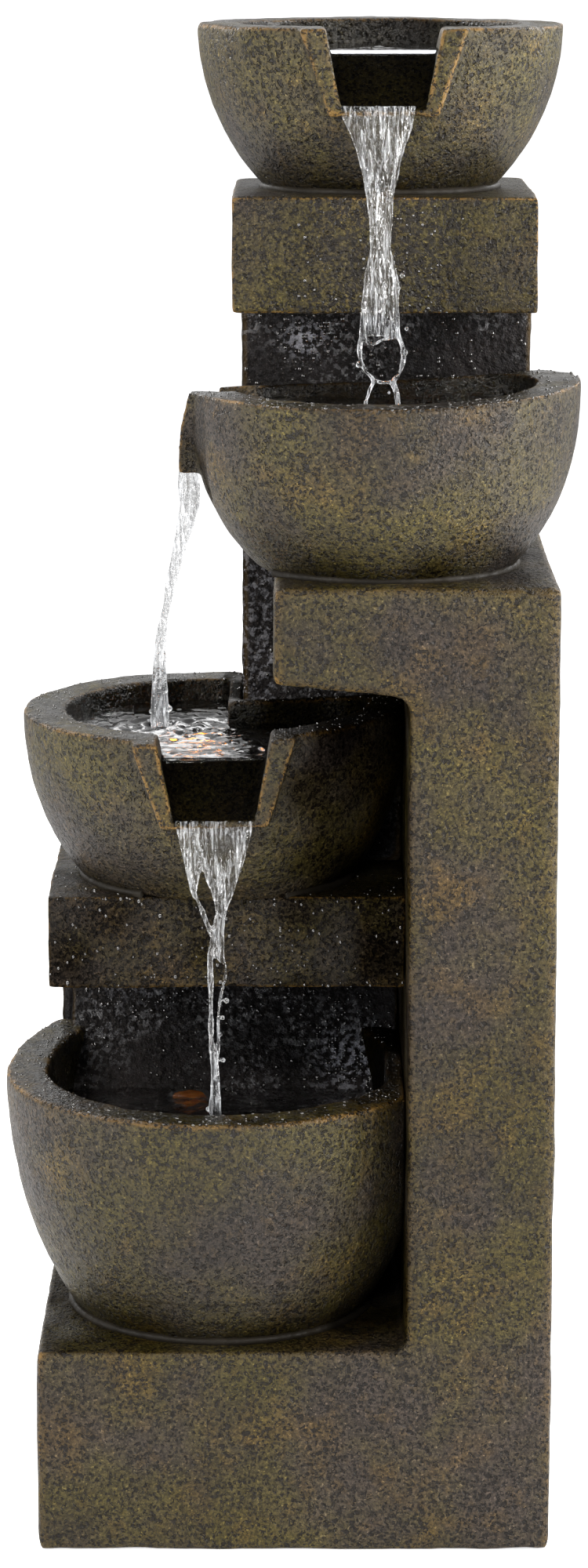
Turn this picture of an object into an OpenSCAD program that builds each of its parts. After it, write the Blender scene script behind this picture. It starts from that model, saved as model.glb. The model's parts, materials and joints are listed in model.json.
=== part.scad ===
// Tiered floor fountain: four half-round bowls on a C-shaped frame, walls and blocks.
// +X is to the right, +Y is to the back and +Z is up; the origin is the centre of the base's underside.

/* [Castings] */
// Width of the base
base_w = 342; // [336:1:350]
// Depth of the base and of the column
body_d = 276; // [272:1:280]
// Height of the base, where the basin stands
base_h = 139; // [137:1:141]
// Width of the column
column_w = 97; // [96:1:98]
// Wall thickness of the hollow castings
wall = 8; // [7:0.5:9]
// Width of the arm, to the left of the column
arm_w = 87; // [82:1:92]
// Depth of the arm
arm_d = 177; // [175:1:179]
// Height of the arm's top face, where the second bowl stands
arm_top_z = 651; // [649:1:653]
// Height of the arm's underside at its free end
arm_low_z = 588; // [584:1:592]
// Width of the lower wall and the middle block
mid_w = 238; // [236:1:240]
// Height of the middle block's underside
mid_low_z = 369; // [367:1:371]
// Height of the middle block's top face, where the third bowl stands
mid_top_z = 432; // [430:1:434]
// How far the middle block stands out in front of the lower wall
mid_overhang = 170; // [166:1:174]
// Thickness of the lower wall and depth of its place behind the basin
lower_wall_d = 34; // [32:1:36]
// Width of the tower's narrow part, to the left of the column
tower_w = 109; // [107:1:111]
// Height of the tower's top face
tower_top_z = 818; // [816:1:820]
// Height of the top block
top_block_h = 75; // [73:1:77]
// Width of the top block
top_block_w = 198; // [194:1:200]
// Depth of the top block
top_block_d = 190; // [186:1:194]

/* [Bowls] */
// Rim radius of the top bowl
top_r = 121; // [119:1:123]
// Height of the top bowl
top_h = 108; // [106:1:110]
// Rim radius of the second bowl
second_r = 128; // [126:1:130]
// Height of the second bowl
second_h = 117; // [115:1:119]
// Compass direction of the second bowl's spout, counted from +X
second_spout_az = 167; // [165:1:169]
// Rim radius of the third bowl
third_r = 131; // [129:1:133]
// Height of the third bowl
third_h = 114; // [112:1:116]
// Rim radius of the basin's round front half
basin_r = 146; // [144:1:148]
// How far the basin's longer back half would reach if the wall did not cut it
basin_back_r = 207; // [204:1:210]
// Height of the basin
basin_h = 164; // [162:1:166]
// Width of the flat rims
rim_w = 29; // [28:1:30]

/* [Spouts] */
// Width across a spout's cheeks at the rim
spout_top_w = 108; // [104:1:110]
// Width across a spout's cheeks at its lower edge
spout_low_w = 70; // [68:1:72]
// Width of the channel between the cheeks at the rim
channel_top_w = 74; // [72:1:76]
// Width of the channel at the lower edge of the spout
channel_low_w = 52; // [50:1:54]
// Height of a spout
spout_h = 55; // [54:1:56]
// How far the weir lies below the rim
weir_drop = 17; // [16:1:18]

/* [Pump and piping] */
// Inside radius of the riser hose
hose_in_r = 6.3; // [6.3:0.1:6.5]
// Outside radius of the riser hose
hose_r = 8; // [8:0.1:8.2]
// Bend radius along the middle of the riser hose
hose_bend_r = 40; // [38:1:42]
// Radius of the hole for a power cord in its gland
gland_r = 4; // [3.5:0.5:5]
// Outside radius of the intake sleeve
sleeve_r = 13; // [12:0.5:14]

/* [Hidden] */
$fn = 96;
base_x = base_w / 2;
back_y = body_d / 2;
front_y = -back_y;
column_x = base_x - column_w;
arm_x = column_x - arm_w;
tower_y = front_y + arm_d;
tower_x = column_x - tower_w;
tower_right_x = base_x - 12;
mid_x = column_x - mid_w;
wall_y = back_y - lower_wall_d;
mid_front_y = wall_y - mid_overhang;
block_top_z = tower_top_z + top_block_h;
block_right_x = base_x - 13;
block_x = block_right_x - top_block_w;
block_y = back_y - top_block_d;

// Bowl centres and rim heights
top_c = [57, 40];
second_c = [60, -33];
third_c = [-52, 15];
basin_c = [-50, -18];
top_rim_z = block_top_z + top_h;
second_rim_z = arm_top_z + second_h;
third_rim_z = mid_top_z + third_h;
basin_rim_z = base_h + basin_h;

// A bowl's flank: the share of an ellipse that its profile runs through, and its power
top_curve = [0.782, 1.95];
second_curve = [0.78, 2.3];
third_curve = [0.732, 2.1];
basin_curve = [0.73, 2];
cavity_curve = [0.8, 2.2];
flank_steps = 14;
bowl_depth = 60;
basin_depth = 130;
back_web = 10;

// Spout profile
cheek_out = 4;
cheek_low_out = 10;
channel_slope = 1;
second_cheek_out = -8;
second_cheek_low_out = 3;
second_channel_slope = 1.26;
curved_front_steps = 8;

// Arm
arm_fillet_r = 10;
arm_root_z = arm_low_z - 8;

// Scoop between the lower wall and the basin
scoop_front_y = 33;
scoop_low_z = 252;
scoop_rise = 83;
scoop_left_x = -134;
scoop_right_x = 60;
scoop_front_right_x = 53;
scoop_mid_y = 60;
scoop_mid_right_x = 51;
scoop_back_right_x = 40.5;
scoop_steps = 12;
scoop_power = 1.5;

// Rear panel and its door
panel_t = 8;
panel_y = back_y - panel_t;
panel_left_x = -base_x + wall;
panel_right_x = base_x - wall;
bay_x = column_x + wall;
panel_top_z = arm_top_z - wall;
floor_t = 8;
door_x = 91;
door_z = 300;
door_h = 140;
door_t = 3.6;
door_gap = 1;
door_frame_low_z = door_z - 12;
door_frame_top_z = door_z + door_h + 12;
hinge_x = 152;
hinge_y = back_y - 2;
knuckle_r = 2;
pin_r = 1;
running_gap = 0.05;
lip_w = 6;
gasket_t = 1.4;
pocket_y = back_y - 5.5;
door_y = hinge_y - door_t / 2;
screw_r = 2;
screw_head_r = 4;
boss_r = 8;
screw_places = [
    [-156, 15], [-156, 124], [0, 15], [156, 15],
    [156, 480], [89, 480], [156, 636], [89, 636]
];
vent_rows = 5;
vent_pitch = 12;

// Door latch
latch_x = 103;
latch_z = 370;
latch_r = 3;
latch_head_r = 7;
cam_l = 16;
cam_w = 8;
cam_t = 3.5;

// Power cord gland
gland_x = -120;
gland_z = 40;

// Sump cup in the foot of the column
cup_x = bay_x + 2;
cup_w = 77;
cup_y = -40;
cup_d = 160;
cup_h = 150;
cup_wall = 3;

// Intake from the basin into the sump cup
intake_y = -18;
intake_z = 200;
sleeve_bore_r = 10;
sleeve_x = 34;
sleeve_end_x = 92;
screen_l = 10;

// Drain
drain_z = 155;
drain_r = 9;
drain_bore_r = 6;
drain_socket_r = 8;
plug_head_y = back_y - 6.7;

// Pump
pump_x = 122.5;
pump_w = 51;
pump_d = 63;
pump_h = 50;
pump_y = 30;
pump_z = 148;
pump_front_y = pump_y + pump_d;
pump_axis_z = pump_z + 25;
chamber_r = 17;
chamber_d = 16;
cover_t = 12;
shaft_r = 1.5;
impeller_r = 15.5;
blades = 6;
nozzle_y = 85;
nozzle_r = 6;
nozzle_bore_r = 4.5;
dial_r = 9;
dial_z = pump_z + 11;
foot_h = pump_z - base_h - cup_wall;

// Inlet through the top block and the top bowl
inlet = [57, 64];
inlet_r = 8;
inlet_floor_z = top_rim_z - bowl_depth;
nut_h = 10;
flange_r = 15;

// Riser hose: straight up from the pump, over towards the inlet, then straight up
hose_low_z = 203;
hose_high_z = 870;
hose_bend_z = 700;
hose_tilt = 60;
hose_sides = 12;
bend_steps = 8;
hose_shift = [inlet.x - pump_x, inlet.y - nozzle_y];
hose_dir = hose_shift / norm(hose_shift);
hose_run = (norm(hose_shift) - 2 * hose_bend_r * (1 - cos(hose_tilt))) / sin(hose_tilt);

// Lamps
lamp_r = 14;
lamp_h = 9;
lens_r = 11;
ring_r = 15;
second_lamp = [78, 4, second_rim_z - bowl_depth];
third_lamp = [-66, 55, third_rim_z - bowl_depth];
basin_lamp = [-73, 44, 256];
basin_lamp_tilt = 33;

// ---- shared shapes ----

// A block between two opposite corners
module block(low, high) {
    translate(low) cube(high - low);
}

// A cylinder along +Y from y0 to y1, with its axis through x, z
module rod_y(x, z, r, y0, y1) {
    translate([x, y0, z]) rotate([-90, 0, 0]) cylinder(r = r, h = y1 - y0);
}

// A cylinder along +X from x0 to x1, with its axis through y, z
module rod_x(y, z, r, x0, x1) {
    translate([x0, y, z]) rotate([0, 90, 0]) cylinder(r = r, h = x1 - x0);
}

// A profile drawn in X and Z, given depth from y0 back to y1
module slab(y0, y1, outline) {
    translate([0, y1, 0]) rotate([90, 0, 0]) linear_extrude(height = y1 - y0) polygon(outline);
}

// A ring of outer radius r and inner radius hole
module ring(r, hole, h) {
    difference() {
        cylinder(r = r, h = h);
        translate([0, 0, -1]) cylinder(r = hole, h = h + 2);
    }
}

// Radius of a bowl's flank at the share t of its height below the rim
function flank(r, curve, t) = r * sqrt(1 - pow(curve[0] * t, curve[1]));

// Points of a flank from the rim down, with the rim at height 0
function flank_points(r, h, curve) =
    [for (i = [0:flank_steps]) [flank(r, curve, i / flank_steps), -h * i / flank_steps]];

// The solid of a bowl, with the middle of its rim at the origin
module bowl_solid(r, h, curve) {
    rotate_extrude() polygon(concat([[0, 0]], flank_points(r, h, curve), [[0, -h]]));
}

// The hollow of a round bowl
module bowl_hollow(r, depth) {
    inner = flank_points(r - rim_w, depth, cavity_curve);
    rotate_extrude() polygon(concat([[0, 2], [r - rim_w, 2]], inner, [[0, -depth]]));
}

// Half-width of a part of the spout at a depth below the rim
function spout_half(top, low, depth) = (top + (low - top) * depth / spout_h) / 2;

// A tapering front outline, wide at the rim, from a height above it to a depth below it
module taper(top, low, above, depth, reach) {
    slab(-reach, 0, [
        [-spout_half(top, low, -above), above],
        [spout_half(top, low, -above), above],
        [spout_half(top, low, depth), -depth],
        [-spout_half(top, low, depth), -depth]
    ]);
}

// A side outline in Y and Z, wide enough for a whole spout
module side(outline) {
    rotate([90, 0, 90]) linear_extrude(height = 2 * spout_top_w, center = true) polygon(outline);
}

// The two cheeks and the chute of a spout that faces -Y, before its channel is cut. Its front stands
// out past the rim by one amount at the top and another at the bottom, straight or in a curve of steps
module spout_solid(r, out, low_out, steps) {
    root = r - rim_w + 3;
    front = [for (i = [0:steps]) let (t = i / steps, bend = steps > 1 ? sin(90 * t) : t)
        [-r - out - (low_out - out) * bend, 1 - (spout_h + 1) * t]];
    intersection() {
        taper(spout_top_w, spout_low_w, 0, spout_h, r + 20);
        side(concat([[-root, 1]], front, [[-root, -spout_h]]));
    }
}

// The channel from the weir down to the lip
module spout_channel(r, slope) {
    inner = r - rim_w - 20;
    weir = r - rim_w + 5;
    past = r + 20;
    intersection() {
        taper(channel_top_w, channel_low_w, 2, weir_drop + (past - weir) * slope, past + 1);
        side([
            [-inner, 2], [-past, 2],
            [-past, -weir_drop - (past - weir) * slope],
            [-weir, -weir_drop], [-inner, -weir_drop]
        ]);
    }
}

// The bead of sealant in the corner between a bowl's flank and the face it stands on
module foot_bead(r, h, curve) {
    foot = flank(r, curve, 1);
    above = flank(r, curve, 1 - 1 / flank_steps);
    bead_h = 3;
    bead_w = 8;
    grown = foot + (above - foot) * bead_h * flank_steps / h;
    rotate_extrude() polygon([[foot, 0], [foot + bead_w, 0], [grown, bead_h]]);
}

// One ring of the basin, round in front and longer behind
function basin_ring(front_r, back_r, share, z) =
    [for (i = [0:basin_sides - 1]) let (a = i * 360 / basin_sides) [
        share * front_r * cos(a),
        share * (sin(a) < 0 ? front_r : back_r) * sin(a),
        z
    ]];

basin_sides = 56;
basin_steps = 9;

// A closed form of stacked rings, from the lowest to the highest
module stack(rings) {
    n = len(rings[0]);
    last = len(rings) - 1;
    points = [for (ring = rings) for (p = ring) p];
    sides = [for (k = [0:last - 1]) for (i = [0:n - 1])
        [k * n + i, (k + 1) * n + i, (k + 1) * n + (i + 1) % n, k * n + (i + 1) % n]];
    low = [[for (i = [0:n - 1]) i]];
    high = [[for (i = [0:n - 1]) last * n + n - 1 - i]];
    polyhedron(points = points, faces = concat(sides, low, high));
}

module basin_form(front_r, back_r, h, curve, above) {
    shares = [for (k = [0:basin_steps]) sqrt(1 - pow(curve[0] * (1 - k / basin_steps), curve[1]))];
    body = [for (k = [0:basin_steps])
        basin_ring(front_r, back_r, shares[k], -h * (1 - k / basin_steps))];
    lid = above > 0 ? [basin_ring(front_r, back_r, 1, above)] : [];
    stack(concat(body, lid));
}

// ---- stone castings ----

// Hollow of the base, of the column and of the arm, open to the back
module frame_hollow() {
    block([panel_left_x, front_y + wall, floor_t], [panel_right_x, back_y + 1, base_h - wall]);
    block([bay_x, front_y + wall, base_h], [panel_right_x, back_y + 1, panel_top_z]);
    block([arm_x + wall, front_y + wall, arm_low_z + wall], [bay_x + 1, tower_y - wall, panel_top_z]);
    block([bay_x, panel_y, base_h - wall - 1], [panel_right_x, back_y + 1, base_h + 1]);
}

module front_frame() {
    corner = [column_x - arm_fillet_r, arm_root_z - arm_fillet_r];
    fillet = [for (a = [0:15:90]) corner + arm_fillet_r * [cos(a), sin(a)]];
    color("#5f5a44") difference() {
        union() {
            difference() {
                union() {
                    block([-base_x, front_y, 0], [base_x, back_y, base_h]);
                    block([column_x, front_y, base_h - 1], [base_x, back_y, arm_top_z]);
                    slab(front_y, tower_y, concat(
                        [[arm_x, arm_top_z], [column_x + 4, arm_top_z], [column_x + 4, corner.y]],
                        fillet,
                        [[arm_x, arm_low_z]]
                    ));
                }
                frame_hollow();
            }
            for (p = screw_places) rod_y(p.x, p.y, boss_r, panel_y - 18, panel_y);
        }
        for (p = screw_places) rod_y(p.x, p.y, screw_r, panel_y - 15, panel_y + 1);
        rod_x(intake_y, intake_z, sleeve_r, column_x - 1, bay_x + 1);
        translate([pump_x, nozzle_y, panel_top_z - 1]) cylinder(r = 10, h = wall + 2);
    }
}

module lower_wall() {
    scoop_top = [for (i = [0:scoop_steps]) let (t = i / scoop_steps)
        [scoop_front_y + (wall_y - scoop_front_y) * t, scoop_low_z + scoop_rise * pow(t, scoop_power)]];
    web_y = wall_y - back_web - 2.5;
    scoop_under = [
        [wall_y + 1, scoop_low_z + scoop_rise], [wall_y + 1, basin_rim_z], [web_y, basin_rim_z],
        [web_y, basin_rim_z - 18], [scoop_front_y, scoop_low_z - 12]
    ];
    // the scoop's plan, inside the basin's curved hollow and wider where it rests on the rim
    scoop_plan = [
        [scoop_left_x, scoop_front_y], [scoop_front_right_x, scoop_front_y], [scoop_mid_right_x, scoop_mid_y],
        [scoop_back_right_x, web_y], [scoop_right_x, web_y], [scoop_right_x, wall_y + 1],
        [scoop_left_x, wall_y + 1]
    ];
    color("#2b2926") difference() {
        union() {
            block([mid_x, wall_y, base_h], [column_x, back_y, mid_low_z]);
            intersection() {
                translate([(scoop_left_x + scoop_right_x) / 2, 0, 0]) rotate([90, 0, 90])
                    linear_extrude(height = scoop_right_x - scoop_left_x, center = true)
                        polygon(concat(scoop_top, scoop_under));
                translate([0, 0, scoop_low_z - 20])
                    linear_extrude(height = scoop_rise + 40) polygon(scoop_plan);
            }
        }
        block([mid_x + wall, wall_y + wall, base_h - 1], [column_x - wall, back_y - wall, mid_low_z - wall]);
        translate(basin_lamp) rotate([basin_lamp_tilt, 0, 0]) {
            translate([0, 0, -lamp_h - 6]) cylinder(r = lamp_r, h = lamp_h + 7);
            cylinder(r = ring_r + 0.3, h = 26);
        }
    }
}

module mid_block() {
    color("#4e4a39") difference() {
        block([mid_x, mid_front_y, mid_low_z], [column_x, back_y, mid_top_z]);
        block([mid_x + wall, mid_front_y + wall, mid_low_z + wall],
              [column_x - wall, back_y - wall, mid_top_z - wall]);
    }
}

module rear_tower() {
    color("#33302a") difference() {
        union() {
            block([tower_x, tower_y, mid_top_z], [column_x, back_y, tower_top_z]);
            block([column_x - 1, tower_y, arm_top_z], [tower_right_x, back_y, tower_top_z]);
        }
        block([tower_x + wall, tower_y + wall, mid_top_z + wall],
              [column_x - wall, back_y - wall, tower_top_z - wall]);
        block([column_x - wall - 1, tower_y + wall, arm_top_z - 1],
              [tower_right_x - wall, back_y - wall, tower_top_z - wall]);
        translate([inlet.x, inlet.y, tower_top_z - wall - 1]) cylinder(r = 12, h = wall + 2);
    }
}

module top_block() {
    color("#4e4a39") difference() {
        block([block_x, block_y, tower_top_z], [block_right_x, back_y, block_top_z]);
        block([block_x + wall, block_y + wall, tower_top_z + wall],
              [block_right_x - wall, back_y - wall, block_top_z - wall]);
        translate([inlet.x, inlet.y, tower_top_z - 1]) cylinder(r = 12, h = wall + 2);
        translate([inlet.x, inlet.y, block_top_z - wall - 1]) cylinder(r = inlet_r, h = wall + 2);
    }
}

// ---- bowls ----

module bowl_top() {
    color("#5f5a44") difference() {
        translate([top_c.x, top_c.y, top_rim_z]) difference() {
            union() {
                bowl_solid(top_r, top_h, top_curve);
                spout_solid(top_r, cheek_out, cheek_low_out, 1);
            }
            bowl_hollow(top_r, bowl_depth);
            spout_channel(top_r, channel_slope);
        }
        translate([inlet.x, inlet.y, block_top_z - 1]) cylinder(r = inlet_r, h = top_h);
    }
}

module bowl_second() {
    turn = second_spout_az + 90;
    color("#5f5a44") difference() {
        translate([second_c.x, second_c.y, second_rim_z]) difference() {
            union() {
                bowl_solid(second_r, second_h, second_curve);
                rotate(turn)
                    spout_solid(second_r, second_cheek_out, second_cheek_low_out, curved_front_steps);
            }
            intersection() {
                bowl_hollow(second_r, bowl_depth);
                block([-second_r, -second_r, -bowl_depth - 1],
                      [second_r, tower_y - back_web - second_c.y, 3]);
            }
            rotate(turn) spout_channel(second_r, second_channel_slope);
        }
        block([tower_x, tower_y, arm_top_z - 1], [base_x + 60, back_y, second_rim_z + 1]);
    }
}

module bowl_third() {
    inner_x = tower_x - back_web - third_c.x;
    inner_y = tower_y - back_web - third_c.y;
    right_x = column_x - back_web - third_c.x;
    color("#5f5a44") difference() {
        translate([third_c.x, third_c.y, third_rim_z]) difference() {
            union() {
                bowl_solid(third_r, third_h, third_curve);
                spout_solid(third_r, cheek_out, cheek_low_out, 1);
            }
            intersection() {
                bowl_hollow(third_r, bowl_depth);
                union() {
                    block([-third_r, -third_r, -bowl_depth - 1], [right_x, inner_y, 3]);
                    block([-third_r, inner_y - 1, -bowl_depth - 1], [inner_x, third_r, 3]);
                }
            }
            spout_channel(third_r, channel_slope);
        }
        block([tower_x, tower_y, mid_top_z - 1], [column_x + 60, back_y + 60, third_rim_z + 1]);
        block([column_x, front_y - 60, mid_top_z - 1], [column_x + 60, back_y + 60, third_rim_z + 1]);
    }
}

module bowl_basin() {
    front_in = basin_r - rim_w;
    back_in = basin_back_r - rim_w;
    color("#5f5a44") difference() {
        intersection() {
            translate([basin_c.x, basin_c.y, basin_rim_z])
                basin_form(basin_r, basin_back_r, basin_h, basin_curve, 0);
            block([-2 * base_w, -2 * body_d, base_h - 1], [column_x, wall_y, basin_rim_z + 1]);
        }
        intersection() {
            translate([basin_c.x, basin_c.y, basin_rim_z])
                basin_form(front_in, back_in, basin_depth, cavity_curve, 2);
            block([-2 * base_w, -2 * body_d, base_h],
                  [column_x - back_web - 2, wall_y - back_web - 2, basin_rim_z + 3]);
        }
        rod_x(intake_y, intake_z, sleeve_r, sleeve_x - 14, column_x + 1);
    }
}

module seal_top() {
    color("#25231f") translate([top_c.x, top_c.y, block_top_z]) foot_bead(top_r, top_h, top_curve);
}

module seal_second() {
    color("#25231f") intersection() {
        translate([second_c.x, second_c.y, arm_top_z]) foot_bead(second_r, second_h, second_curve);
        block([arm_x, front_y, arm_top_z - 1], [base_x, tower_y, arm_top_z + 10]);
    }
}

module seal_third() {
    color("#25231f") intersection() {
        translate([third_c.x, third_c.y, mid_top_z]) foot_bead(third_r, third_h, third_curve);
        union() {
            block([mid_x, mid_front_y, mid_top_z - 1], [column_x, tower_y, mid_top_z + 10]);
            block([mid_x, tower_y - 1, mid_top_z - 1], [tower_x, back_y, mid_top_z + 10]);
        }
    }
}

module seal_basin() {
    color("#25231f") intersection() {
        translate([basin_c.x, basin_c.y, base_h]) foot_bead(basin_r, basin_h, basin_curve);
        block([-base_x, front_y, base_h - 1], [column_x, basin_c.y, base_h + 10]);
    }
}

// ---- back of the body ----

module panel_screw_holes() {
    for (p = screw_places) {
        rod_y(p.x, p.y, screw_r + 0.2, panel_y - 1, back_y + 1);
        rod_y(p.x, p.y, screw_head_r + 0.5, back_y - 3, back_y + 1);
    }
}

// The lower panel, which closes the base and the foot of the column
module rear_panel() {
    color("#4a463a") difference() {
        slab(panel_y, back_y, [
            [panel_left_x, floor_t], [panel_right_x, floor_t], [panel_right_x, door_frame_low_z],
            [bay_x, door_frame_low_z], [bay_x, base_h - wall], [panel_left_x, base_h - wall]
        ]);
        for (i = [0:vent_rows - 1])
            block([-30, panel_y - 1, 50 + i * vent_pitch], [30, back_y + 1, 54 + i * vent_pitch]);
        panel_screw_holes();
        rod_y(gland_x, gland_z, 10, panel_y - 1, back_y + 1);
        rod_y(gland_x, gland_z, 14, back_y - 2, back_y + 1);
        rod_y(pump_x, drain_z, drain_r, panel_y - 1, back_y + 1);
    }
}

// The upper panel, with air slots near the top of the column
module vent_panel() {
    color("#4a463a") difference() {
        block([bay_x, panel_y, door_frame_top_z], [panel_right_x, back_y, panel_top_z]);
        for (i = [0:vent_rows - 1])
            block([102, panel_y - 1, 520 + i * vent_pitch], [142, back_y + 1, 524 + i * vent_pitch]);
        panel_screw_holes();
    }
}

// The frame between the two panels, with the door's pocket and opening
module door_frame() {
    color("#4a463a") difference() {
        block([bay_x, panel_y, door_frame_low_z], [panel_right_x, back_y, door_frame_top_z]);
        block([door_x - 2, pocket_y, door_z - door_gap],
              [hinge_x + 3, back_y + 1, door_z + door_h + door_gap]);
        block([door_x - 2 + lip_w, panel_y - 1, door_z - door_gap + lip_w],
              [hinge_x + 3 - lip_w, back_y + 1, door_z + door_h + door_gap - lip_w]);
        translate([hinge_x, hinge_y, door_z - 8]) cylinder(r = pin_r, h = door_h + 16);
    }
}

module panel_screws() {
    color("silver") for (p = screw_places) difference() {
        union() {
            rod_y(p.x, p.y, screw_r, panel_y - 13, back_y - 3);
            rod_y(p.x, p.y, screw_head_r, back_y - 3, back_y - 0.5);
        }
        block([p.x - 0.5, back_y - 2, p.y - 2.5], [p.x + 0.5, back_y, p.y + 2.5]);
        block([p.x - 2.5, back_y - 2, p.y - 0.5], [p.x + 2.5, back_y, p.y + 0.5]);
    }
}

module access_door() {
    color("#4a463a") difference() {
        union() {
            block([door_x, door_y, door_z], [hinge_x, door_y + door_t, door_z + door_h]);
            translate([hinge_x, hinge_y, door_z]) cylinder(r = knuckle_r, h = door_h);
        }
        for (z = [door_z - 1, door_z + door_h - 6])
            translate([hinge_x, hinge_y, z]) cylinder(r = pin_r + running_gap, h = 7);
        rod_y(latch_x, latch_z, latch_r + running_gap, door_y - 1, back_y + 1);
        rod_y(latch_x, latch_z, latch_head_r + 0.3, door_y + 2, back_y + 1);
    }
}

module door_gasket() {
    color("#1c1c1c") difference() {
        block([door_x - 2, pocket_y, door_z - door_gap],
              [hinge_x + 3, pocket_y + gasket_t, door_z + door_h + door_gap]);
        block([door_x - 2 + lip_w, pocket_y - 1, door_z - door_gap + lip_w],
              [hinge_x + 3 - lip_w, pocket_y + gasket_t + 1, door_z + door_h + door_gap - lip_w]);
    }
}

module hinge_pins() {
    color("silver") for (z = [door_z - 8, door_z + door_h - 5.5])
        translate([hinge_x, hinge_y, z]) cylinder(r = pin_r, h = 13.5);
}

module door_latch() {
    head_y = door_y + 2.1;
    color("#6b6b6b") difference() {
        union() {
            rod_y(latch_x, latch_z, latch_r, panel_y - 1, head_y + 0.5);
            rod_y(latch_x, latch_z, latch_head_r, head_y, back_y - 0.2);
            block([latch_x - cam_w / 2, panel_y - 0.3 - cam_t, latch_z - cam_l],
                  [latch_x + cam_w / 2, panel_y - 0.3, latch_z + cam_w / 2 + 1]);
        }
        block([latch_x - 0.8, back_y - 1.2, latch_z - 5], [latch_x + 0.8, back_y, latch_z + 5]);
    }
}

module cord_gland() {
    color("#1c1c1c") difference() {
        union() {
            rod_y(gland_x, gland_z, 14, back_y - 2, back_y);
            rod_y(gland_x, gland_z, 10, panel_y - 1, back_y - 1);
            rod_y(gland_x, gland_z, 13, panel_y - 3, panel_y);
        }
        rod_y(gland_x, gland_z, gland_r, panel_y - 4, back_y + 1);
    }
}

// ---- sump, intake and drain ----

module sump_cup() {
    low = [cup_x, cup_y, base_h];
    high = low + [cup_w, cup_d, cup_h];
    color("#3b3f42") difference() {
        block(low, high);
        block(low + [cup_wall, cup_wall, cup_wall], high + [-cup_wall, -cup_wall, 1]);
        rod_x(intake_y, intake_z, sleeve_r, cup_x - 1, cup_x + cup_wall + 1);
        rod_y(pump_x, drain_z, drain_r, cup_y + cup_d - cup_wall - 1, cup_y + cup_d + 1);
    }
}

module intake_sleeve() {
    color("#3b3f42") difference() {
        union() {
            rod_x(intake_y, intake_z, sleeve_r, sleeve_x, sleeve_end_x);
            rod_x(intake_y, intake_z, sleeve_r + 3, cup_x + cup_wall, sleeve_end_x - 1);
        }
        rod_x(intake_y, intake_z, sleeve_bore_r, sleeve_x - 1, sleeve_end_x + 1);
    }
}

module intake_screen() {
    color("#2f3336") difference() {
        rod_x(intake_y, intake_z, sleeve_r, sleeve_x - screen_l, sleeve_x);
        rod_x(intake_y, intake_z, sleeve_bore_r, sleeve_x - screen_l + 2, sleeve_x + 1);
        for (dz = [-6:4:6])
            block([sleeve_x - screen_l - 1, intake_y - 7, intake_z + dz - 1],
                  [sleeve_x - screen_l + 3, intake_y + 7, intake_z + dz + 1]);
    }
}

module drain_tube() {
    cup_back_y = cup_y + cup_d;
    color("#3b3f42") difference() {
        union() {
            rod_y(pump_x, drain_z, drain_r, cup_back_y - 6, back_y);
            rod_y(pump_x, drain_z, drain_r + 3, cup_back_y, cup_back_y + 4);
        }
        rod_y(pump_x, drain_z, drain_bore_r, cup_back_y - 7, back_y + 1);
        rod_y(pump_x, drain_z, drain_socket_r, plug_head_y - 0.3, back_y + 1);
    }
}

module drain_plug() {
    color("#8a2f22") difference() {
        union() {
            rod_y(pump_x, drain_z, drain_bore_r - running_gap, plug_head_y - 9, plug_head_y + 0.5);
            rod_y(pump_x, drain_z, drain_socket_r - 0.4, plug_head_y, back_y - 0.5);
        }
        for (side = [-1, 1])
            block([pump_x + side * 4.5 - 1.5, back_y - 4, drain_z - 3],
                  [pump_x + side * 4.5 + 1.5, back_y, drain_z + 3]);
    }
}

// ---- pump ----

// A block along Y with its four long edges cut back
module cut_edge_block(x, z, w, h, y0, y1, cut) {
    a = w / 2;
    b = h / 2;
    translate([x, 0, z]) slab(y0, y1, [
        [-a + cut, -b], [a - cut, -b], [a, -b + cut], [a, b - cut],
        [a - cut, b], [-a + cut, b], [-a, b - cut], [-a, -b + cut]
    ]);
}

module pump_housing() {
    color("#24282b") difference() {
        union() {
            cut_edge_block(pump_x, pump_axis_z, pump_w, pump_h, pump_y, pump_front_y, 6);
            for (i = [0:4])
                cut_edge_block(pump_x, pump_axis_z, pump_w + 2, pump_h - 8,
                               pump_y + 6 + i * 8, pump_y + 9 + i * 8, 4);
        }
        rod_y(pump_x, pump_axis_z, chamber_r, pump_front_y - chamber_d, pump_front_y + 1);
        rod_y(pump_x, pump_axis_z, shaft_r + running_gap, pump_y + 25, pump_front_y);
        translate([pump_x, nozzle_y, pump_axis_z + 8]) cylinder(r = nozzle_bore_r, h = pump_h);
        rod_y(pump_x, pump_axis_z, 22, pump_front_y - 1, pump_front_y + 1);
    }
}

module pump_seal_ring() {
    color("#1c1c1c") translate([pump_x, pump_front_y - 1, pump_axis_z]) rotate([-90, 0, 0])
        ring(22, 19, 1);
}

module pump_cover() {
    color("#2f3336") difference() {
        cut_edge_block(pump_x, pump_axis_z, pump_w - 2, pump_h - 2,
                       pump_front_y, pump_front_y + cover_t, 6);
        for (i = [-2:2])
            block([pump_x + i * 5 - 1.2, pump_front_y - 1, pump_axis_z - 3],
                  [pump_x + i * 5 + 1.2, pump_front_y + cover_t + 1, pump_axis_z + 12]);
        rod_y(pump_x, dial_z, 2 + running_gap, pump_front_y + 4, pump_front_y + cover_t + 1);
    }
}

module pump_shaft() {
    color("silver") rod_y(pump_x, pump_axis_z, shaft_r, pump_y + 26, pump_front_y - 2);
}

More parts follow.
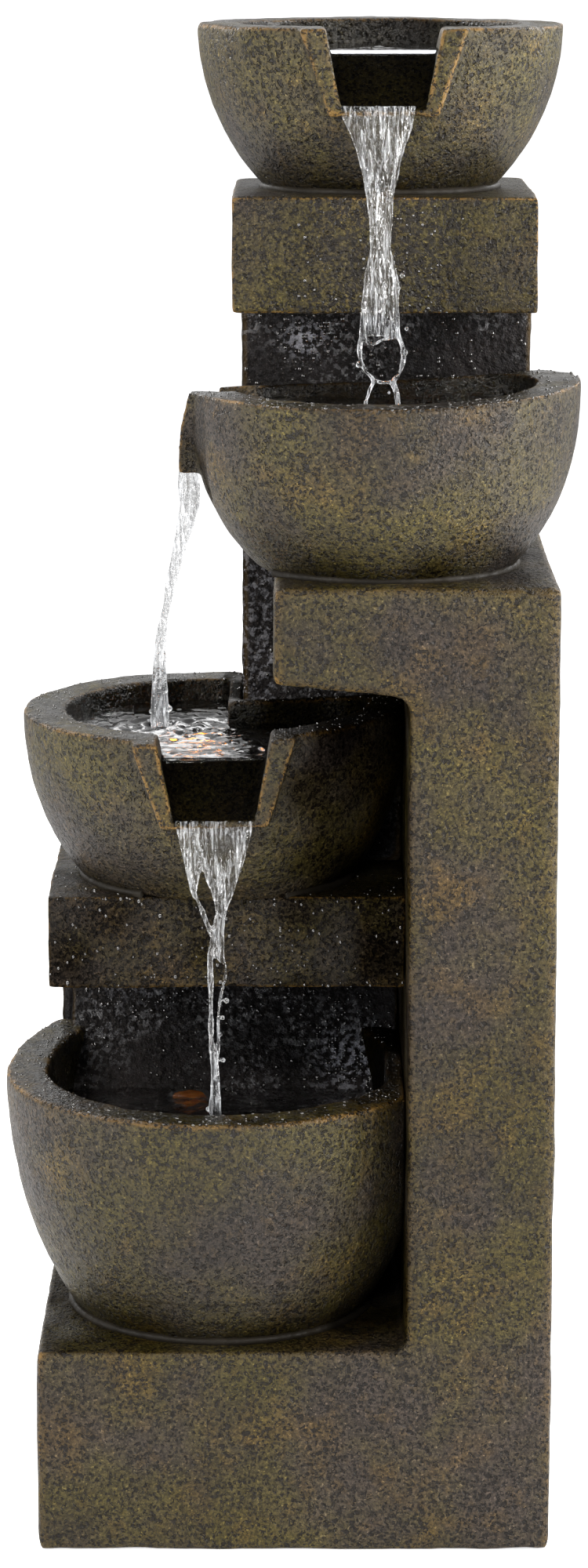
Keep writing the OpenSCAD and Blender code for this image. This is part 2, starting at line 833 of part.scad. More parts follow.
module pump_impeller() {
    back = pump_front_y - chamber_d + 2;
    color("#d8d4c8") difference() {
        union() {
            rod_y(pump_x, pump_axis_z, 5, back, back + 11);
            rod_y(pump_x, pump_axis_z, impeller_r, back, back + 1.5);
            for (i = [0:blades - 1])
                translate([pump_x, 0, pump_axis_z]) rotate([0, i * 360 / blades, 0])
                    block([3, back + 1, -0.8], [impeller_r - 0.3, back + 10, 0.8]);
        }
        rod_y(pump_x, pump_axis_z, shaft_r, back - 1, back + 12);
    }
}

module flow_dial() {
    face_y = pump_front_y + cover_t + 0.3;
    color("#c9862b") difference() {
        union() {
            rod_y(pump_x, dial_z, 2, pump_front_y + 5, face_y + 1);
            rod_y(pump_x, dial_z, dial_r, face_y, face_y + 4);
            block([pump_x - 1.5, face_y + 3, dial_z - 8], [pump_x + 1.5, face_y + 6, dial_z + 8]);
        }
        block([pump_x - 0.5, face_y + 5, dial_z + 2], [pump_x + 0.5, face_y + 7, dial_z + 7]);
    }
}

module pump_feet() {
    color("#1c1c1c") for (dx = [-18.5, 18.5]) for (y = [pump_y + 10, pump_front_y - 10])
        translate([pump_x + dx, y, base_h + cup_wall]) difference() {
            cylinder(r1 = 8, r2 = 5, h = foot_h);
            translate([0, 0, -0.5]) cylinder(r1 = 6, r2 = 2, h = 3);
        }
}

module pump_nozzle() {
    top_z = pump_z + pump_h;
    color("#2f3336") translate([pump_x, nozzle_y, top_z]) difference() {
        union() {
            cylinder(r = 9, h = 3);
            cylinder(r = nozzle_r, h = 24);
        }
        translate([0, 0, -1]) cylinder(r = nozzle_bore_r, h = 26);
    }
}

// ---- riser ----

// Middle line of the hose as [distance along hose_dir, height, tilt from upright]
hose_line = concat(
    [for (z = [hose_low_z, 320, 440, 560]) [0, z, 0]],
    [for (i = [0:bend_steps]) let (a = hose_tilt * i / bend_steps)
        [hose_bend_r * (1 - cos(a)), hose_bend_z + hose_bend_r * sin(a), a]],
    [for (i = [bend_steps:-1:0]) let (a = hose_tilt * i / bend_steps) [
        norm(hose_shift) - hose_bend_r * (1 - cos(a)),
        hose_bend_z + 2 * hose_bend_r * sin(hose_tilt) + hose_run * cos(hose_tilt) - hose_bend_r * sin(a),
        a
    ]],
    [[norm(hose_shift), hose_high_z, 0]]
);

// One ring of points round the middle line
function hose_ring(p, r) =
    [for (i = [0:hose_sides - 1])
        let (a = i * 360 / hose_sides, out = p[0] + r * cos(a) * cos(p[2]), across = r * sin(a)) [
            pump_x + out * hose_dir.x - across * hose_dir.y,
            nozzle_y + out * hose_dir.y + across * hose_dir.x,
            p[1] - r * cos(a) * sin(p[2])
        ]];

module riser_hose() {
    n = hose_sides;
    count = len(hose_line);
    outer = [for (p = hose_line) for (q = hose_ring(p, hose_r)) q];
    inner = [for (p = hose_line) for (q = hose_ring(p, hose_in_r)) q];
    half = count * n;
    last = half - n;
    skin = [for (k = [0:count - 2]) for (i = [0:n - 1])
        [k * n + i, (k + 1) * n + i, (k + 1) * n + (i + 1) % n, k * n + (i + 1) % n]];
    bore = [for (f = skin) [for (j = [3:-1:0]) f[j] + half]];
    low = [for (i = [0:n - 1]) [i, (i + 1) % n, half + (i + 1) % n, half + i]];
    high = [for (i = [0:n - 1])
        [last + i, half + last + i, half + last + (i + 1) % n, last + (i + 1) % n]];
    color("#b9c2c4") polyhedron(points = concat(outer, inner), faces = concat(skin, bore, low, high));
}

module hose_clamp() {
    lug_x = hose_r + 0.5;
    difference() {
        union() {
            cylinder(r = hose_r + 1.2, h = 8);
            block([lug_x, -2.5, 0], [lug_x + 6, 2.5, 8]);
        }
        translate([0, 0, -1]) cylinder(r = hose_r + 0.05, h = 10);
        translate([lug_x + 3.5, -4, 4]) rotate([-90, 0, 0]) cylinder(r = 1.5, h = 8);
    }
}

module hose_clamps() {
    color("silver") {
        translate([pump_x, nozzle_y, hose_low_z + 4]) hose_clamp();
        translate([inlet.x, inlet.y, hose_high_z - 14]) hose_clamp();
    }
}

module inlet_fitting() {
    nut_z = block_top_z - wall - nut_h;
    color("#2f3336") translate([inlet.x, inlet.y, 0]) difference() {
        union() {
            translate([0, 0, nut_z - 27]) cylinder(r = nozzle_r, h = 28);
            translate([0, 0, nut_z]) cylinder(r = inlet_r, h = inlet_floor_z + 2 - nut_z);
            translate([0, 0, inlet_floor_z + 2]) cylinder(r = flange_r, h = 4);
            translate([0, 0, inlet_floor_z + 5]) cylinder(r = nozzle_r, h = 9);
        }
        translate([0, 0, nut_z - 28]) cylinder(r = nozzle_bore_r, h = 130);
    }
}

module inlet_nut() {
    color("#2f3336") translate([inlet.x, inlet.y, block_top_z - wall - nut_h]) difference() {
        cylinder(r = 14, h = nut_h, $fn = 6);
        translate([0, 0, -1]) cylinder(r = inlet_r, h = nut_h + 2);
    }
}

module inlet_gasket() {
    color("#1c1c1c") translate([inlet.x, inlet.y, inlet_floor_z]) ring(flange_r, inlet_r, 2);
}

module outlet_cap() {
    cap_z = inlet_floor_z + 6;
    color("#2f3336") translate([inlet.x, inlet.y, cap_z]) difference() {
        cylinder(r = 9, h = 22);
        translate([0, 0, -1]) cylinder(r = nozzle_r, h = 20);
        block([-10, -2, 12], [10, 2, 17]);
        block([-2, -10, 12], [2, 10, 17]);
    }
}

// ---- lamps ----

module lamp_body() {
    color("#24282b") difference() {
        cylinder(r = lamp_r, h = lamp_h);
        translate([0, 0, lamp_h - 4]) cylinder(r = lens_r, h = 5);
    }
}

module lamp_lens() {
    color("#e8a33a") translate([0, 0, lamp_h - 4]) intersection() {
        cylinder(r = lens_r, h = 8);
        translate([0, 0, 7 - 40]) sphere(r = 40);
    }
}

module lamp_ring() {
    color("#202426") translate([0, 0, lamp_h]) ring(ring_r, lens_r + 0.2, 2);
}

module at_basin_lamp() {
    translate(basin_lamp) rotate([basin_lamp_tilt, 0, 0]) translate([0, 0, -lamp_h]) children();
}

module lamp_body_second() translate(second_lamp) lamp_body();
module lamp_lens_second() translate(second_lamp) lamp_lens();
module lamp_ring_second() translate(second_lamp) lamp_ring();
module lamp_body_third() translate(third_lamp) lamp_body();
module lamp_lens_third() translate(third_lamp) lamp_lens();
module lamp_ring_third() translate(third_lamp) lamp_ring();
module lamp_body_basin() at_basin_lamp() lamp_body();
module lamp_lens_basin() at_basin_lamp() lamp_lens();
module lamp_ring_basin() at_basin_lamp() lamp_ring();

front_frame();
lower_wall();
mid_block();
rear_tower();
top_block();
bowl_top();
bowl_second();
bowl_third();
bowl_basin();
seal_top();
seal_second();
seal_third();
seal_basin();
rear_panel();
vent_panel();
door_frame();
panel_screws();
access_door();
door_gasket();
hinge_pins();
door_latch();
cord_gland();
sump_cup();
intake_sleeve();
intake_screen();
drain_tube();
drain_plug();
pump_housing();
pump_cover();
pump_seal_ring();
pump_impeller();
pump_shaft();
flow_dial();
pump_feet();
pump_nozzle();
riser_hose();
hose_clamps();
inlet_fitting();
inlet_nut();
inlet_gasket();
outlet_cap();
lamp_body_second();
lamp_lens_second();
lamp_ring_second();
lamp_body_third();
lamp_lens_third();
lamp_ring_third();
lamp_body_basin();
lamp_lens_basin();
lamp_ring_basin();
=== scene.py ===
"""Looks of the tiered fountain: weathered castings, wet walls, rippled pools and falling water."""
import json
import math

import bmesh
import bpy
import numpy as np
from mathutils import Matrix, Vector


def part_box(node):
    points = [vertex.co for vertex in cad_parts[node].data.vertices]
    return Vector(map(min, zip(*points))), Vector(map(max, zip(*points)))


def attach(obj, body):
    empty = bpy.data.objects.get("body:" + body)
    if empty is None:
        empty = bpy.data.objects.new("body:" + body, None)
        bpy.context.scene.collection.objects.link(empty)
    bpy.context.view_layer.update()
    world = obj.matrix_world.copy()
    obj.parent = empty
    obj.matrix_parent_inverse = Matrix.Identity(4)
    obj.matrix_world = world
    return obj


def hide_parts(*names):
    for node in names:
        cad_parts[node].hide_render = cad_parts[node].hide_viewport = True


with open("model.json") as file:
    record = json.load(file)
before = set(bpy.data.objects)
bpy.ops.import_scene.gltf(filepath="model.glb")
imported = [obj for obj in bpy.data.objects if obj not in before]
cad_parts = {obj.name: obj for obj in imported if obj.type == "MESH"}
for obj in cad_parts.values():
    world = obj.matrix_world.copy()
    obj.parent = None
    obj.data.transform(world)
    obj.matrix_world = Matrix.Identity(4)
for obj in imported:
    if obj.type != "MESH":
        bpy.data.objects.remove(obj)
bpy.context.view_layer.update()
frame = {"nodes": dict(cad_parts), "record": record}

MM = 0.001
TO_METRES = Matrix.Diagonal((MM, MM, MM, 1))
BODY = "fountain"

# Castings: cell of the worn mesh in mm, and rounds of smoothing that soften the edges
CASTINGS = {
    "front_frame": (3.75, 4),
    "lower_wall": (2.2, 8),
    "mid_block": (2.0, 8),
    "rear_tower": (2.4, 7),
    "top_block": (2.0, 8),
    "bowl_top": (1.6, 6),
    "bowl_second": (1.6, 6),
    "bowl_third": (1.65, 6),
    "bowl_basin": (2.15, 5),
}
WET_WALLS = ("lower_wall", "rear_tower")
WEAR_ROUNDS = 9

# Bowls, in mm: centre, rim radius, level of the rim, height from foot to rim, depth of the hollow,
# drop from the rim to the water and radius of the foot. The basin's back half is longer.
BOWLS = {
    "bowl_top": {"centre": (57, 40), "radius": 121, "rim": 1001, "height": 108,
                 "depth": 60, "drop": 16.5, "foot": 74.7},
    "bowl_second": {"centre": (60, -33), "radius": 128, "rim": 768, "height": 117,
                    "depth": 60, "drop": 14, "foot": 84},
    "bowl_third": {"centre": (-52, 15), "radius": 131, "rim": 546, "height": 114,
                   "depth": 60, "drop": 15, "foot": 90},
    "bowl_basin": {"centre": (-50, -18), "radius": 146, "rim": 303, "height": 164,
                   "depth": 130, "drop": 37, "foot": 99.8},
}
BASIN_BACK = 207
RIM_W = 29
HOLLOW_FULLNESS = 0.8
HOLLOW_POWER = 2.2
SPOUT_AZIMUTH = {"bowl_top": -90, "bowl_second": 167, "bowl_third": -90}
CHANNEL_HALF = 34
# Rise of a rim in mm towards an azimuth in degrees
RIM_LEANS = {"bowl_second": [(6.0, 0), (-11.0, 112)], "bowl_third": [(7.0, -20)]}
WEIR_INSET = 24

# Places that cut the bowls' hollows, in mm
TOWER_FRONT = 39
TOWER_LEFT = -35
COLUMN_LEFT = 74
WALL_FRONT = 104
WEB = 10

# Scoop of the lower wall, in mm: left end, front edge, radius of its corner at the column, underside,
# lip, and how far its curve rises above the lip
SCOOP_LEFT = -157
SCOOP_FRONT = 33
SCOOP_CORNER = 42
SCOOP_UNDER = 236
SCOOP_LIP = 252.5
SCOOP_RISE = 83
SCOOP_STEPS = 14
# Wet walls are dry behind this band of depth, in m
DRY_BAND = (0.128, 0.134)

# Water, in mm: cell and depth of the pools, cell of the streams, columns across a sheet of water,
# thickness of the edge on a weir, least radius of a strand
POOL_CELL = 1.6
POOL_DEPTH = 9.0
STREAM_CELL = 0.75
SHEET_COLUMNS = 26
CREST_RADIUS = 1.0
STRAND_LEAST = 0.35
# Where each stream lands: x, y in mm and the height of its waves
SPLASHES = {
    "bowl_top": [(57, 64, 0.35)],
    "bowl_second": [(56, -93, 1.2)],
    "bowl_third": [(-91, 21, 1.9), (-70, 10, 0.9)],
    "bowl_basin": [(-51, -124, 1.4)],
}

# Beads of sealant, in mm: their middle outside the foot and above the joint, radius, steps in a turn
BEAD_OUT = 2.4
BEAD_UP = 1.1
BEAD_RADIUS = 3.2
BEAD_STEPS = 240

# Camera, in metres and degrees
CAMERA_AT = (0.0, -2.828, 1.0908)
CAMERA_TILT = 78.1
CAMERA_LENS = 98.1

# Colours, linear
OLIVE = (0.058, 0.0455, 0.011)
MAUVE = (0.037, 0.028, 0.022)
BRONZE = (0.096, 0.056, 0.010)
UMBER = (0.026, 0.018, 0.010)
GOLD = (0.26, 0.14, 0.030)
PIT = (0.011, 0.008, 0.006)
WET_BLACK = (0.0105, 0.0088, 0.0086)
AMBER = (1.0, 0.30, 0.012)
# Painted glint, laid into the wet walls' colour where highlights cluster
PAINTED_GLINT_COLOUR = (0.40, 0.40, 0.46)
WARM_LIGHT = (1.0, 0.97, 0.92)
COOL_LIGHT = (0.85, 0.92, 1.0)
WHITE = (1.0, 1.0, 1.0)

WATER_IOR = 1.33
# Standing drops are dark and gleam more than clear water does, so that they read at their size
BEAD_DARK = (0.020, 0.017, 0.014)
BEAD_IOR = 1.8

# Brightness of the room in front of the fountain; the backdrop behind it is white
DIM_ROOM = 0.16
FLOOR_REACH = 60.0
FLOOR_LEVEL = -0.0005

# Softboxes: name, place, aim and size in metres, power in watts and colour
SOFTBOXES = (
    ("left_strip", (-1.7, -1.4, 2.0), (0, 0, 0.9), (0.4, 1.4), 38, WARM_LIGHT),
    ("right_strip", (1.7, -1.4, 2.05), (0, 0, 0.95), (0.4, 1.4), 42, WARM_LIGHT),
    ("front", (0.1, -2.4, 2.3), (0, 0, 0.5), (1.2, 0.5), 20, WARM_LIGHT),
    ("left_side", (-1.5, -0.2, 0.85), (0, 0, 0.8), (0.5, 1.2), 9, WHITE),
    ("right_side", (1.5, -0.2, 0.95), (0, 0, 0.85), (0.5, 1.2), 30, WHITE),
    ("low_front", (-0.7, -2.3, 0.72), (0, 0, 0.45), (0.3, 0.4), 4.5, COOL_LIGHT),
    ("back_left", (-1.4, 1.5, 1.9), (0, 0, 0.7), (0.4, 1.2), 24, WHITE),
    ("back_right", (1.4, 1.5, 1.9), (0, 0, 0.7), (0.4, 1.2), 24, WHITE),
)


# Large numbers that scatter the values of the lattice noise
HASH_X = 73856093
HASH_Y = 19349663
HASH_Z = 83492791
HASH_SEED = 2654435761
HASH_MIX = 1274126177
HASH_MASK = 0xFFFFFF
HASH_MIDDLE = 0x7FFFFF


# ---- node graphs ----

class Graph:
    """A material's node tree, built from calls that return sockets."""

    def __init__(self, name):
        self.material = bpy.data.materials.new(name)
        self.material.use_nodes = True
        self.tree = self.material.node_tree
        self.shader = self.tree.nodes["Principled BSDF"]

    def add(self, kind, values=None, **settings):
        node = self.tree.nodes.new(kind)
        for key, value in settings.items():
            setattr(node, key, value)
        for key, value in (values or {}).items():
            self.put(node.inputs[key], value)
        return node

    def put(self, socket, value):
        if isinstance(value, bpy.types.NodeSocket):
            self.tree.links.new(value, socket)
        elif socket.type == "RGBA" and len(value) == 3:
            socket.default_value = (*value, 1)
        else:
            socket.default_value = value

    def set(self, **values):
        for key, value in values.items():
            self.put(self.shader.inputs[key.replace("_", " ")], value)

    def place(self):
        return self.add("ShaderNodeTexCoord").outputs["Object"]

    def noise(self, scale, detail=3.0, roughness=0.55, at=None, distortion=0.0):
        values = {"Scale": scale, "Detail": detail, "Roughness": roughness, "Distortion": distortion}
        if at is not None:
            values["Vector"] = at
        return self.add("ShaderNodeTexNoise", values).outputs["Fac"]

    def math(self, operation, a, b=0.0):
        return self.add("ShaderNodeMath", {0: a, 1: b}, operation=operation).outputs[0]

    def plus(self, a, b):
        return self.math("ADD", a, b)

    def times(self, a, b):
        return self.math("MULTIPLY", a, b)

    def greater(self, a, b):
        return self.math("MAXIMUM", a, b)

    def step(self, value, low, high, out_low=0.0, out_high=1.0):
        """Smooth change from out_low to out_high as value goes from low to high."""
        values = {"Value": value, "From Min": low, "From Max": high, "To Min": out_low, "To Max": out_high}
        node = self.add("ShaderNodeMapRange", values, interpolation_type="SMOOTHSTEP")
        return node.outputs["Result"]

    def shifted(self, at, by):
        return self.add("ShaderNodeVectorMath", {0: at, 1: by}).outputs[0]

    def stretched(self, at, factors):
        return self.add("ShaderNodeVectorMath", {0: at, 1: factors}, operation="MULTIPLY").outputs[0]

    def between(self, share, a, b):
        """The number between a and b at that share of the way."""
        return self.add("ShaderNodeMix", {0: share, 2: a, 3: b}, data_type="FLOAT").outputs[0]

    def mix(self, share, a, b):
        """The colour between a and b at that share of the way."""
        node = self.add("ShaderNodeMix", data_type="RGBA")
        for index, value in ((0, share), (6, a), (7, b)):
            self.put(node.inputs[index], value)
        return node.outputs[2]

    def scale_colour(self, colour, factor):
        node = self.add("ShaderNodeVectorMath", {0: colour}, operation="SCALE")
        self.put(node.inputs["Scale"], factor)
        return node.outputs[0]

    def cells(self, at, scale):
        """Distance from the middle of the nearest of many scattered cells."""
        return self.add("ShaderNodeTexVoronoi", {"Vector": at, "Scale": scale}).outputs["Distance"]

    def attribute(self, name):
        return self.add("ShaderNodeAttribute", attribute_name=name).outputs["Fac"]

    def bump(self, height, distance, strength=1.0):
        values = {"Height": height, "Distance": distance, "Strength": strength}
        return self.add("ShaderNodeBump", values).outputs["Normal"]


def pits(graph, at, scale, size):
    """1 inside small comma-shaped pits, 0 between them."""
    warp = graph.add("ShaderNodeTexNoise", {"Vector": at, "Scale": scale * 1.4, "Detail": 2.0})
    push = graph.scale_colour(warp.outputs["Color"], 0.9 / scale)
    spot = graph.shifted(at, push)
    return graph.step(graph.cells(spot, scale), size, size * 0.55)


def worm_marks(graph, at, scale, share):
    """1 on short comma-shaped marks, which follow pieces of the level lines of a noise."""
    field = graph.noise(scale, 1.5, 0.5, at, 0.3)
    line = graph.step(graph.math("ABSOLUTE", graph.plus(field, -0.5)), 0.052, 0.022)
    cut = graph.step(graph.noise(scale * 0.8, 1.0, 0.5, at), 1 - share, 1.06 - share)
    return graph.times(line, cut)


def casting_material(name, sheen):
    """Mottled olive casting with pits, rubbed edges, wet places, and darker places: painted shade in creases
    and sheltered places, and damp stone.
    """
    g = Graph(name)
    at = g.place()
    broad = g.noise(9.0, 5.0, 0.62, at)
    cloud = g.noise(24.0, 6.0, 0.65, at, 0.4)
    blotch = g.noise(15.0, 5.0, 0.6, g.shifted(at, (3, 7, 1)))
    patch = g.noise(70.0, 4.0, 0.6, at)
    grain = g.noise(420.0, 3.0, 0.7, at)
    speck = g.noise(540.0, 2.0, 0.6, g.shifted(at, (2, 4, 6)))
    flecks = g.step(g.noise(400.0, 2.0, 0.6, g.shifted(at, (9, 1, 3))), 0.60, 0.70)
    edge = g.attribute("edge")
    wet = g.attribute("wet")
    dark = g.attribute("dark")
    crease_shade = g.attribute("crease_shade")

    colour = g.mix(g.step(broad, 0.38, 0.64), OLIVE, MAUVE)
    colour = g.mix(g.times(g.step(blotch, 0.50, 0.72), 0.6), colour, BRONZE)
    colour = g.mix(g.times(g.step(cloud, 0.54, 0.32), 0.42), colour, UMBER)
    colour = g.mix(g.times(g.step(patch, 0.54, 0.70), 0.25), colour, BRONZE)
    colour = g.scale_colour(colour, g.step(grain, 0.28, 0.72, 0.62, 1.42))
    colour = g.scale_colour(colour, g.step(speck, 0.34, 0.66, 0.58, 1.46))
    colour = g.scale_colour(colour, g.step(flecks, 0.0, 1.0, 1.0, 2.3))
    colour = g.scale_colour(colour, g.step(g.noise(5.0, 2.0, 0.5, at), 0.35, 0.65, 0.84, 1.2))

    aside = g.shifted(at, (5, 2, 8))
    small = g.times(pits(g, at, 270.0, 0.36), g.step(g.noise(45.0, 3.0, 0.6, at), 0.38, 0.50))
    large = g.times(pits(g, aside, 145.0, 0.31), g.step(g.noise(30.0, 3.0, 0.6, aside), 0.44, 0.54))
    commas = worm_marks(g, aside, 300.0, 0.48)
    pit_share = g.greater(g.greater(small, large), commas)
    worn = g.plus(edge, g.times(g.plus(cloud, -0.5), 2.2))
    worn = g.plus(worn, g.times(g.plus(patch, -0.5), 1.4))
    rubbed = g.times(g.step(worn, 0.55, 1.05), g.step(edge, 0.5, 0.85))
    colour = g.mix(g.times(g.step(edge, 0.2, 0.6), 0.3), colour, BRONZE)
    colour = g.mix(g.times(rubbed, 0.65), colour, GOLD)
    # Painted shade in concave creases
    colour = g.mix(g.times(crease_shade, 0.8), colour, UMBER)
    colour = g.mix(g.times(pit_share, 0.96), colour, PIT)
    spatter = g.plus(g.noise(340.0, 3.0, 0.65, at), g.times(g.attribute("spatter"), 0.13))
    spots = g.step(spatter, 0.60, 0.65)
    colour = g.mix(g.times(spots, 0.92), colour, PIT)
    colour = g.mix(wet, colour, g.scale_colour(colour, 0.25))
    # Painted shade, with damp stone, from the dark attribute
    colour = g.mix(dark, colour, g.scale_colour(colour, 0.12))

    height = g.plus(g.times(grain, 0.45), g.times(speck, 0.18))
    height = g.plus(height, g.times(patch, 0.6))
    height = g.math("SUBTRACT", height, g.times(pit_share, 0.9))
    drops = g.times(pits(g, at, 150.0, 0.34), wet)
    height = g.plus(height, g.times(drops, 0.7))
    lumps = g.noise(150.0, 3.0, 0.6, at)
    height = g.plus(height, g.times(lumps, 0.5))
    dry_rough = g.step(grain, 0.3, 0.7, 0.34, 0.52)
    wet_rough = g.step(cloud, 0.35, 0.65, 0.10, 0.30)
    rough = g.between(wet, dry_rough, wet_rough)
    rough = g.greater(rough, g.step(dark, 0.45, 0.75, 0.0, 0.6))
    shine = g.greater(g.step(dark, 0.0, 1.0, sheen, 0.05), g.times(wet, 0.4))
    shine = g.times(shine, g.step(dark, 0.45, 0.75, 1.0, 0.04))
    g.set(Base_Color=colour, Roughness=rough, Specular_IOR_Level=shine, Normal=g.bump(height, 0.0026, 1.0))
    return g.material


def domes(graph, at, scale, size):
    """Rounded bumps like standing drops."""
    return graph.step(graph.cells(at, scale), size, 0.0)


def wet_wall_material():
    """Black, rough and running with water, so that it glints; with painted glint in bright specks and
    clusters, and painted shade on faces turned towards -X.
    """
    g = Graph("wet_wall")
    at = g.place()
    cloud = g.noise(20.0, 4.0, 0.6, at)
    grain = g.noise(330.0, 4.0, 0.7, at)
    speck = g.noise(620.0, 3.0, 0.7, at)
    lumps = g.noise(120.0, 3.0, 0.6, at)
    edge = g.attribute("edge")
    dry = g.attribute("dry")
    dark = g.attribute("dark")
    colour = g.mix(g.step(cloud, 0.45, 0.7), WET_BLACK, (0.024, 0.020, 0.020))
    colour = g.mix(g.times(g.step(grain, 0.55, 0.8), 0.6), colour, (0.050, 0.040, 0.026))
    # Light specks: grain of the stone, painted brighter to stand in for tiny glints
    colour = g.mix(g.times(g.step(speck, 0.56, 0.70), 0.7), colour, (0.120, 0.105, 0.095))
    colour = g.mix(g.times(g.step(edge, 0.35, 0.9), 0.5), colour, BRONZE)
    # Painted shade on faces turned towards -X
    colour = g.mix(dark, colour, g.scale_colour(colour, 0.2))
    olive = g.mix(g.step(g.noise(9.0, 5.0, 0.62, at), 0.34, 0.58), OLIVE, MAUVE)
    olive = g.mix(g.times(g.step(cloud, 0.54, 0.34), 0.35), olive, UMBER)
    olive = g.scale_colour(olive, g.step(grain, 0.25, 0.75, 0.45, 1.25))
    colour = g.mix(dry, colour, olive)
    height = g.plus(g.times(grain, 0.5), lumps)
    height = g.plus(height, g.times(domes(g, at, 150.0, 0.5), 0.25))
    spray_and_painted_glint = g.attribute("spray_and_painted_glint")
    patches = g.greater(g.step(g.noise(16.0, 2.0, 0.5, at), 0.46, 0.62, 0.12, 0.6), spray_and_painted_glint)
    glint = g.times(g.step(g.noise(230.0, 3.0, 0.6, at), 0.48, 0.58), patches)
    # Painted glint: bright colour laid into the glinting clusters
    painted_glint = g.times(glint, g.step(spray_and_painted_glint, 0.0, 0.9, 0.10, 0.85))
    painted_glint = g.times(painted_glint, g.step(dry, 0.0, 0.5, 1.0, 0.0))
    colour = g.mix(painted_glint, colour, PAINTED_GLINT_COLOUR)
    wet_rough = g.step(glint, 0.0, 1.0, 0.55, 0.12)
    wet_gloss = g.times(g.step(glint, 0.0, 1.0, 0.15, 1.8), g.step(dark, 0.2, 0.9, 1.0, 0.1))
    gloss = g.between(dry, wet_gloss, 0.3)
    rough = g.between(dry, wet_rough, 0.45)
    g.set(Base_Color=colour, Roughness=rough, Specular_IOR_Level=gloss, Normal=g.bump(height, 0.0050, 1.0))
    return g.material


def water_material():
    g = Graph("clear_water")
    g.set(Base_Color=WHITE, Roughness=0.015, IOR=WATER_IOR, Transmission_Weight=1.0)
    g.set(Normal=g.bump(g.noise(260.0, 2.0, 0.5, g.place()), 0.0004, 0.35))
    return g.material


def froth_material(name, painted_glow):
    """Fast water: clear, with white threads along the fall where it breaks up; the threads and an even haze
    glow, as painted light.
    """
    g = Graph(name)
    at = g.place()
    fine = g.noise(300.0, 2.0, 0.5, at)
    ropes = g.noise(520.0, 3.0, 0.55, g.stretched(at, (1, 1, 0.09)), 0.5)
    threads = g.step(ropes, 0.52, 0.66)
    g.set(Base_Color=WHITE, Roughness=0.02, IOR=WATER_IOR, Transmission_Weight=1.0)
    g.set(Normal=g.bump(g.plus(fine, g.times(ropes, 2.0)), 0.0016, 0.9))
    # Painted glow: the water emits light along the threads, plus an even glow
    g.set(Emission_Color=(0.95, 0.97, 1.0), Emission_Strength=g.plus(g.times(threads, 0.38), painted_glow))
    return g.material


def bead_material():
    g = Graph("standing_water")
    tone = g.step(g.noise(90.0, 2.0, 0.5, g.place()), 0.3, 0.7, 0.6, 1.4)
    g.set(Base_Color=g.scale_colour(BEAD_DARK, tone), Roughness=0.04, IOR=BEAD_IOR, Specular_IOR_Level=1.0)
    return g.material


def lamp_material(name, strength):
    g = Graph(name)
    glow = g.noise(120.0, 2.0, 0.5, g.place())
    amber = g.mix(g.step(glow, 0.3, 0.7), (0.8, 0.20, 0.02), (1.0, 0.32, 0.05))
    shown = g.scale_colour(amber, 0.25 if strength == 0 else 1.0)
    g.set(Base_Color=shown, Roughness=0.2, Emission_Color=AMBER, Emission_Strength=strength)
    return g.material


def plain_material(name, colour, roughness, grain_scale=600.0, depth=0.00015, spread=0.25, level=0.5):
    """A moulded, cast or drawn surface with fine grain and slight change of tone."""
    g = Graph(name)
    at = g.place()
    grain = g.noise(grain_scale, 3.0, 0.6, at)
    cloud = g.noise(35.0, 3.0, 0.6, at)
    tone = g.step(cloud, 0.3, 0.7, 1 - spread, 1 + spread)
    g.set(Base_Color=g.scale_colour(colour, tone), Specular_IOR_Level=level)
    g.set(Roughness=g.step(grain, 0.3, 0.7, roughness * 0.85, min(1.0, roughness * 1.15)))
    g.set(Normal=g.bump(grain, depth, 0.6))
    return g.material


def brushed_material(name, colour, roughness):
    g = Graph(name)
    lines = g.noise(300.0, 4.0, 0.6, g.stretched(g.place(), (1, 1, 12)))
    g.set(Base_Color=g.scale_colour(colour, g.step(lines, 0.3, 0.7, 0.85, 1.1)), Metallic=1.0)
    g.set(Roughness=g.step(lines, 0.3, 0.7, roughness * 0.8, roughness * 1.3))
    g.set(Normal=g.bump(lines, 0.00005, 0.5))
    return g.material


# ---- mesh tools ----

def vertices(mesh):
    flat = np.empty(len(mesh.vertices) * 3)
    mesh.vertices.foreach_get("co", flat)
    return flat.reshape(-1, 3)


def normals(mesh):
    flat = np.empty(len(mesh.vertices) * 3)
    mesh.vertices.foreach_get("normal", flat)
    return flat.reshape(-1, 3)


def set_vertices(mesh, points):
    mesh.vertices.foreach_set("co", points.astype(np.float32).ravel())
    mesh.update()


def lattice_noise(points, size, seed):
    """Smooth noise from -1 to 1 whose bumps are about size across."""
    cell = np.floor(points / size)
    part = points / size - cell
    part = part * part * (3 - 2 * part)
    cell = cell.astype(np.int64)
    total = np.zeros(len(points))
    for corner in range(8):
        bits = np.array([corner & 1, corner >> 1 & 1, corner >> 2 & 1])
        spot = cell + bits
        code = spot[:, 0] * HASH_X ^ spot[:, 1] * HASH_Y ^ spot[:, 2] * HASH_Z ^ seed * HASH_SEED
        code = (code ^ code >> 13) * HASH_MIX & HASH_MASK
        weight = np.prod(np.where(bits, part, 1 - part), axis=1)
        total += weight * (code / HASH_MIDDLE - 1)
    return total


def shaped(mesh, modifiers):
    """The mesh after a list of (type, settings) modifiers."""
    work = bpy.data.objects.new("work", mesh)
    bpy.context.scene.collection.objects.link(work)
    for kind, settings in modifiers:
        modifier = work.modifiers.new(kind, kind)
        for key, value in settings.items():
            setattr(modifier, key, value)
    graph = bpy.context.evaluated_depsgraph_get()
    result = bpy.data.meshes.new_from_object(work.evaluated_get(graph))
    bpy.data.objects.remove(work)
    return result


def smooth_shade(mesh):
    mesh.polygons.foreach_set("use_smooth", [True] * len(mesh.polygons))


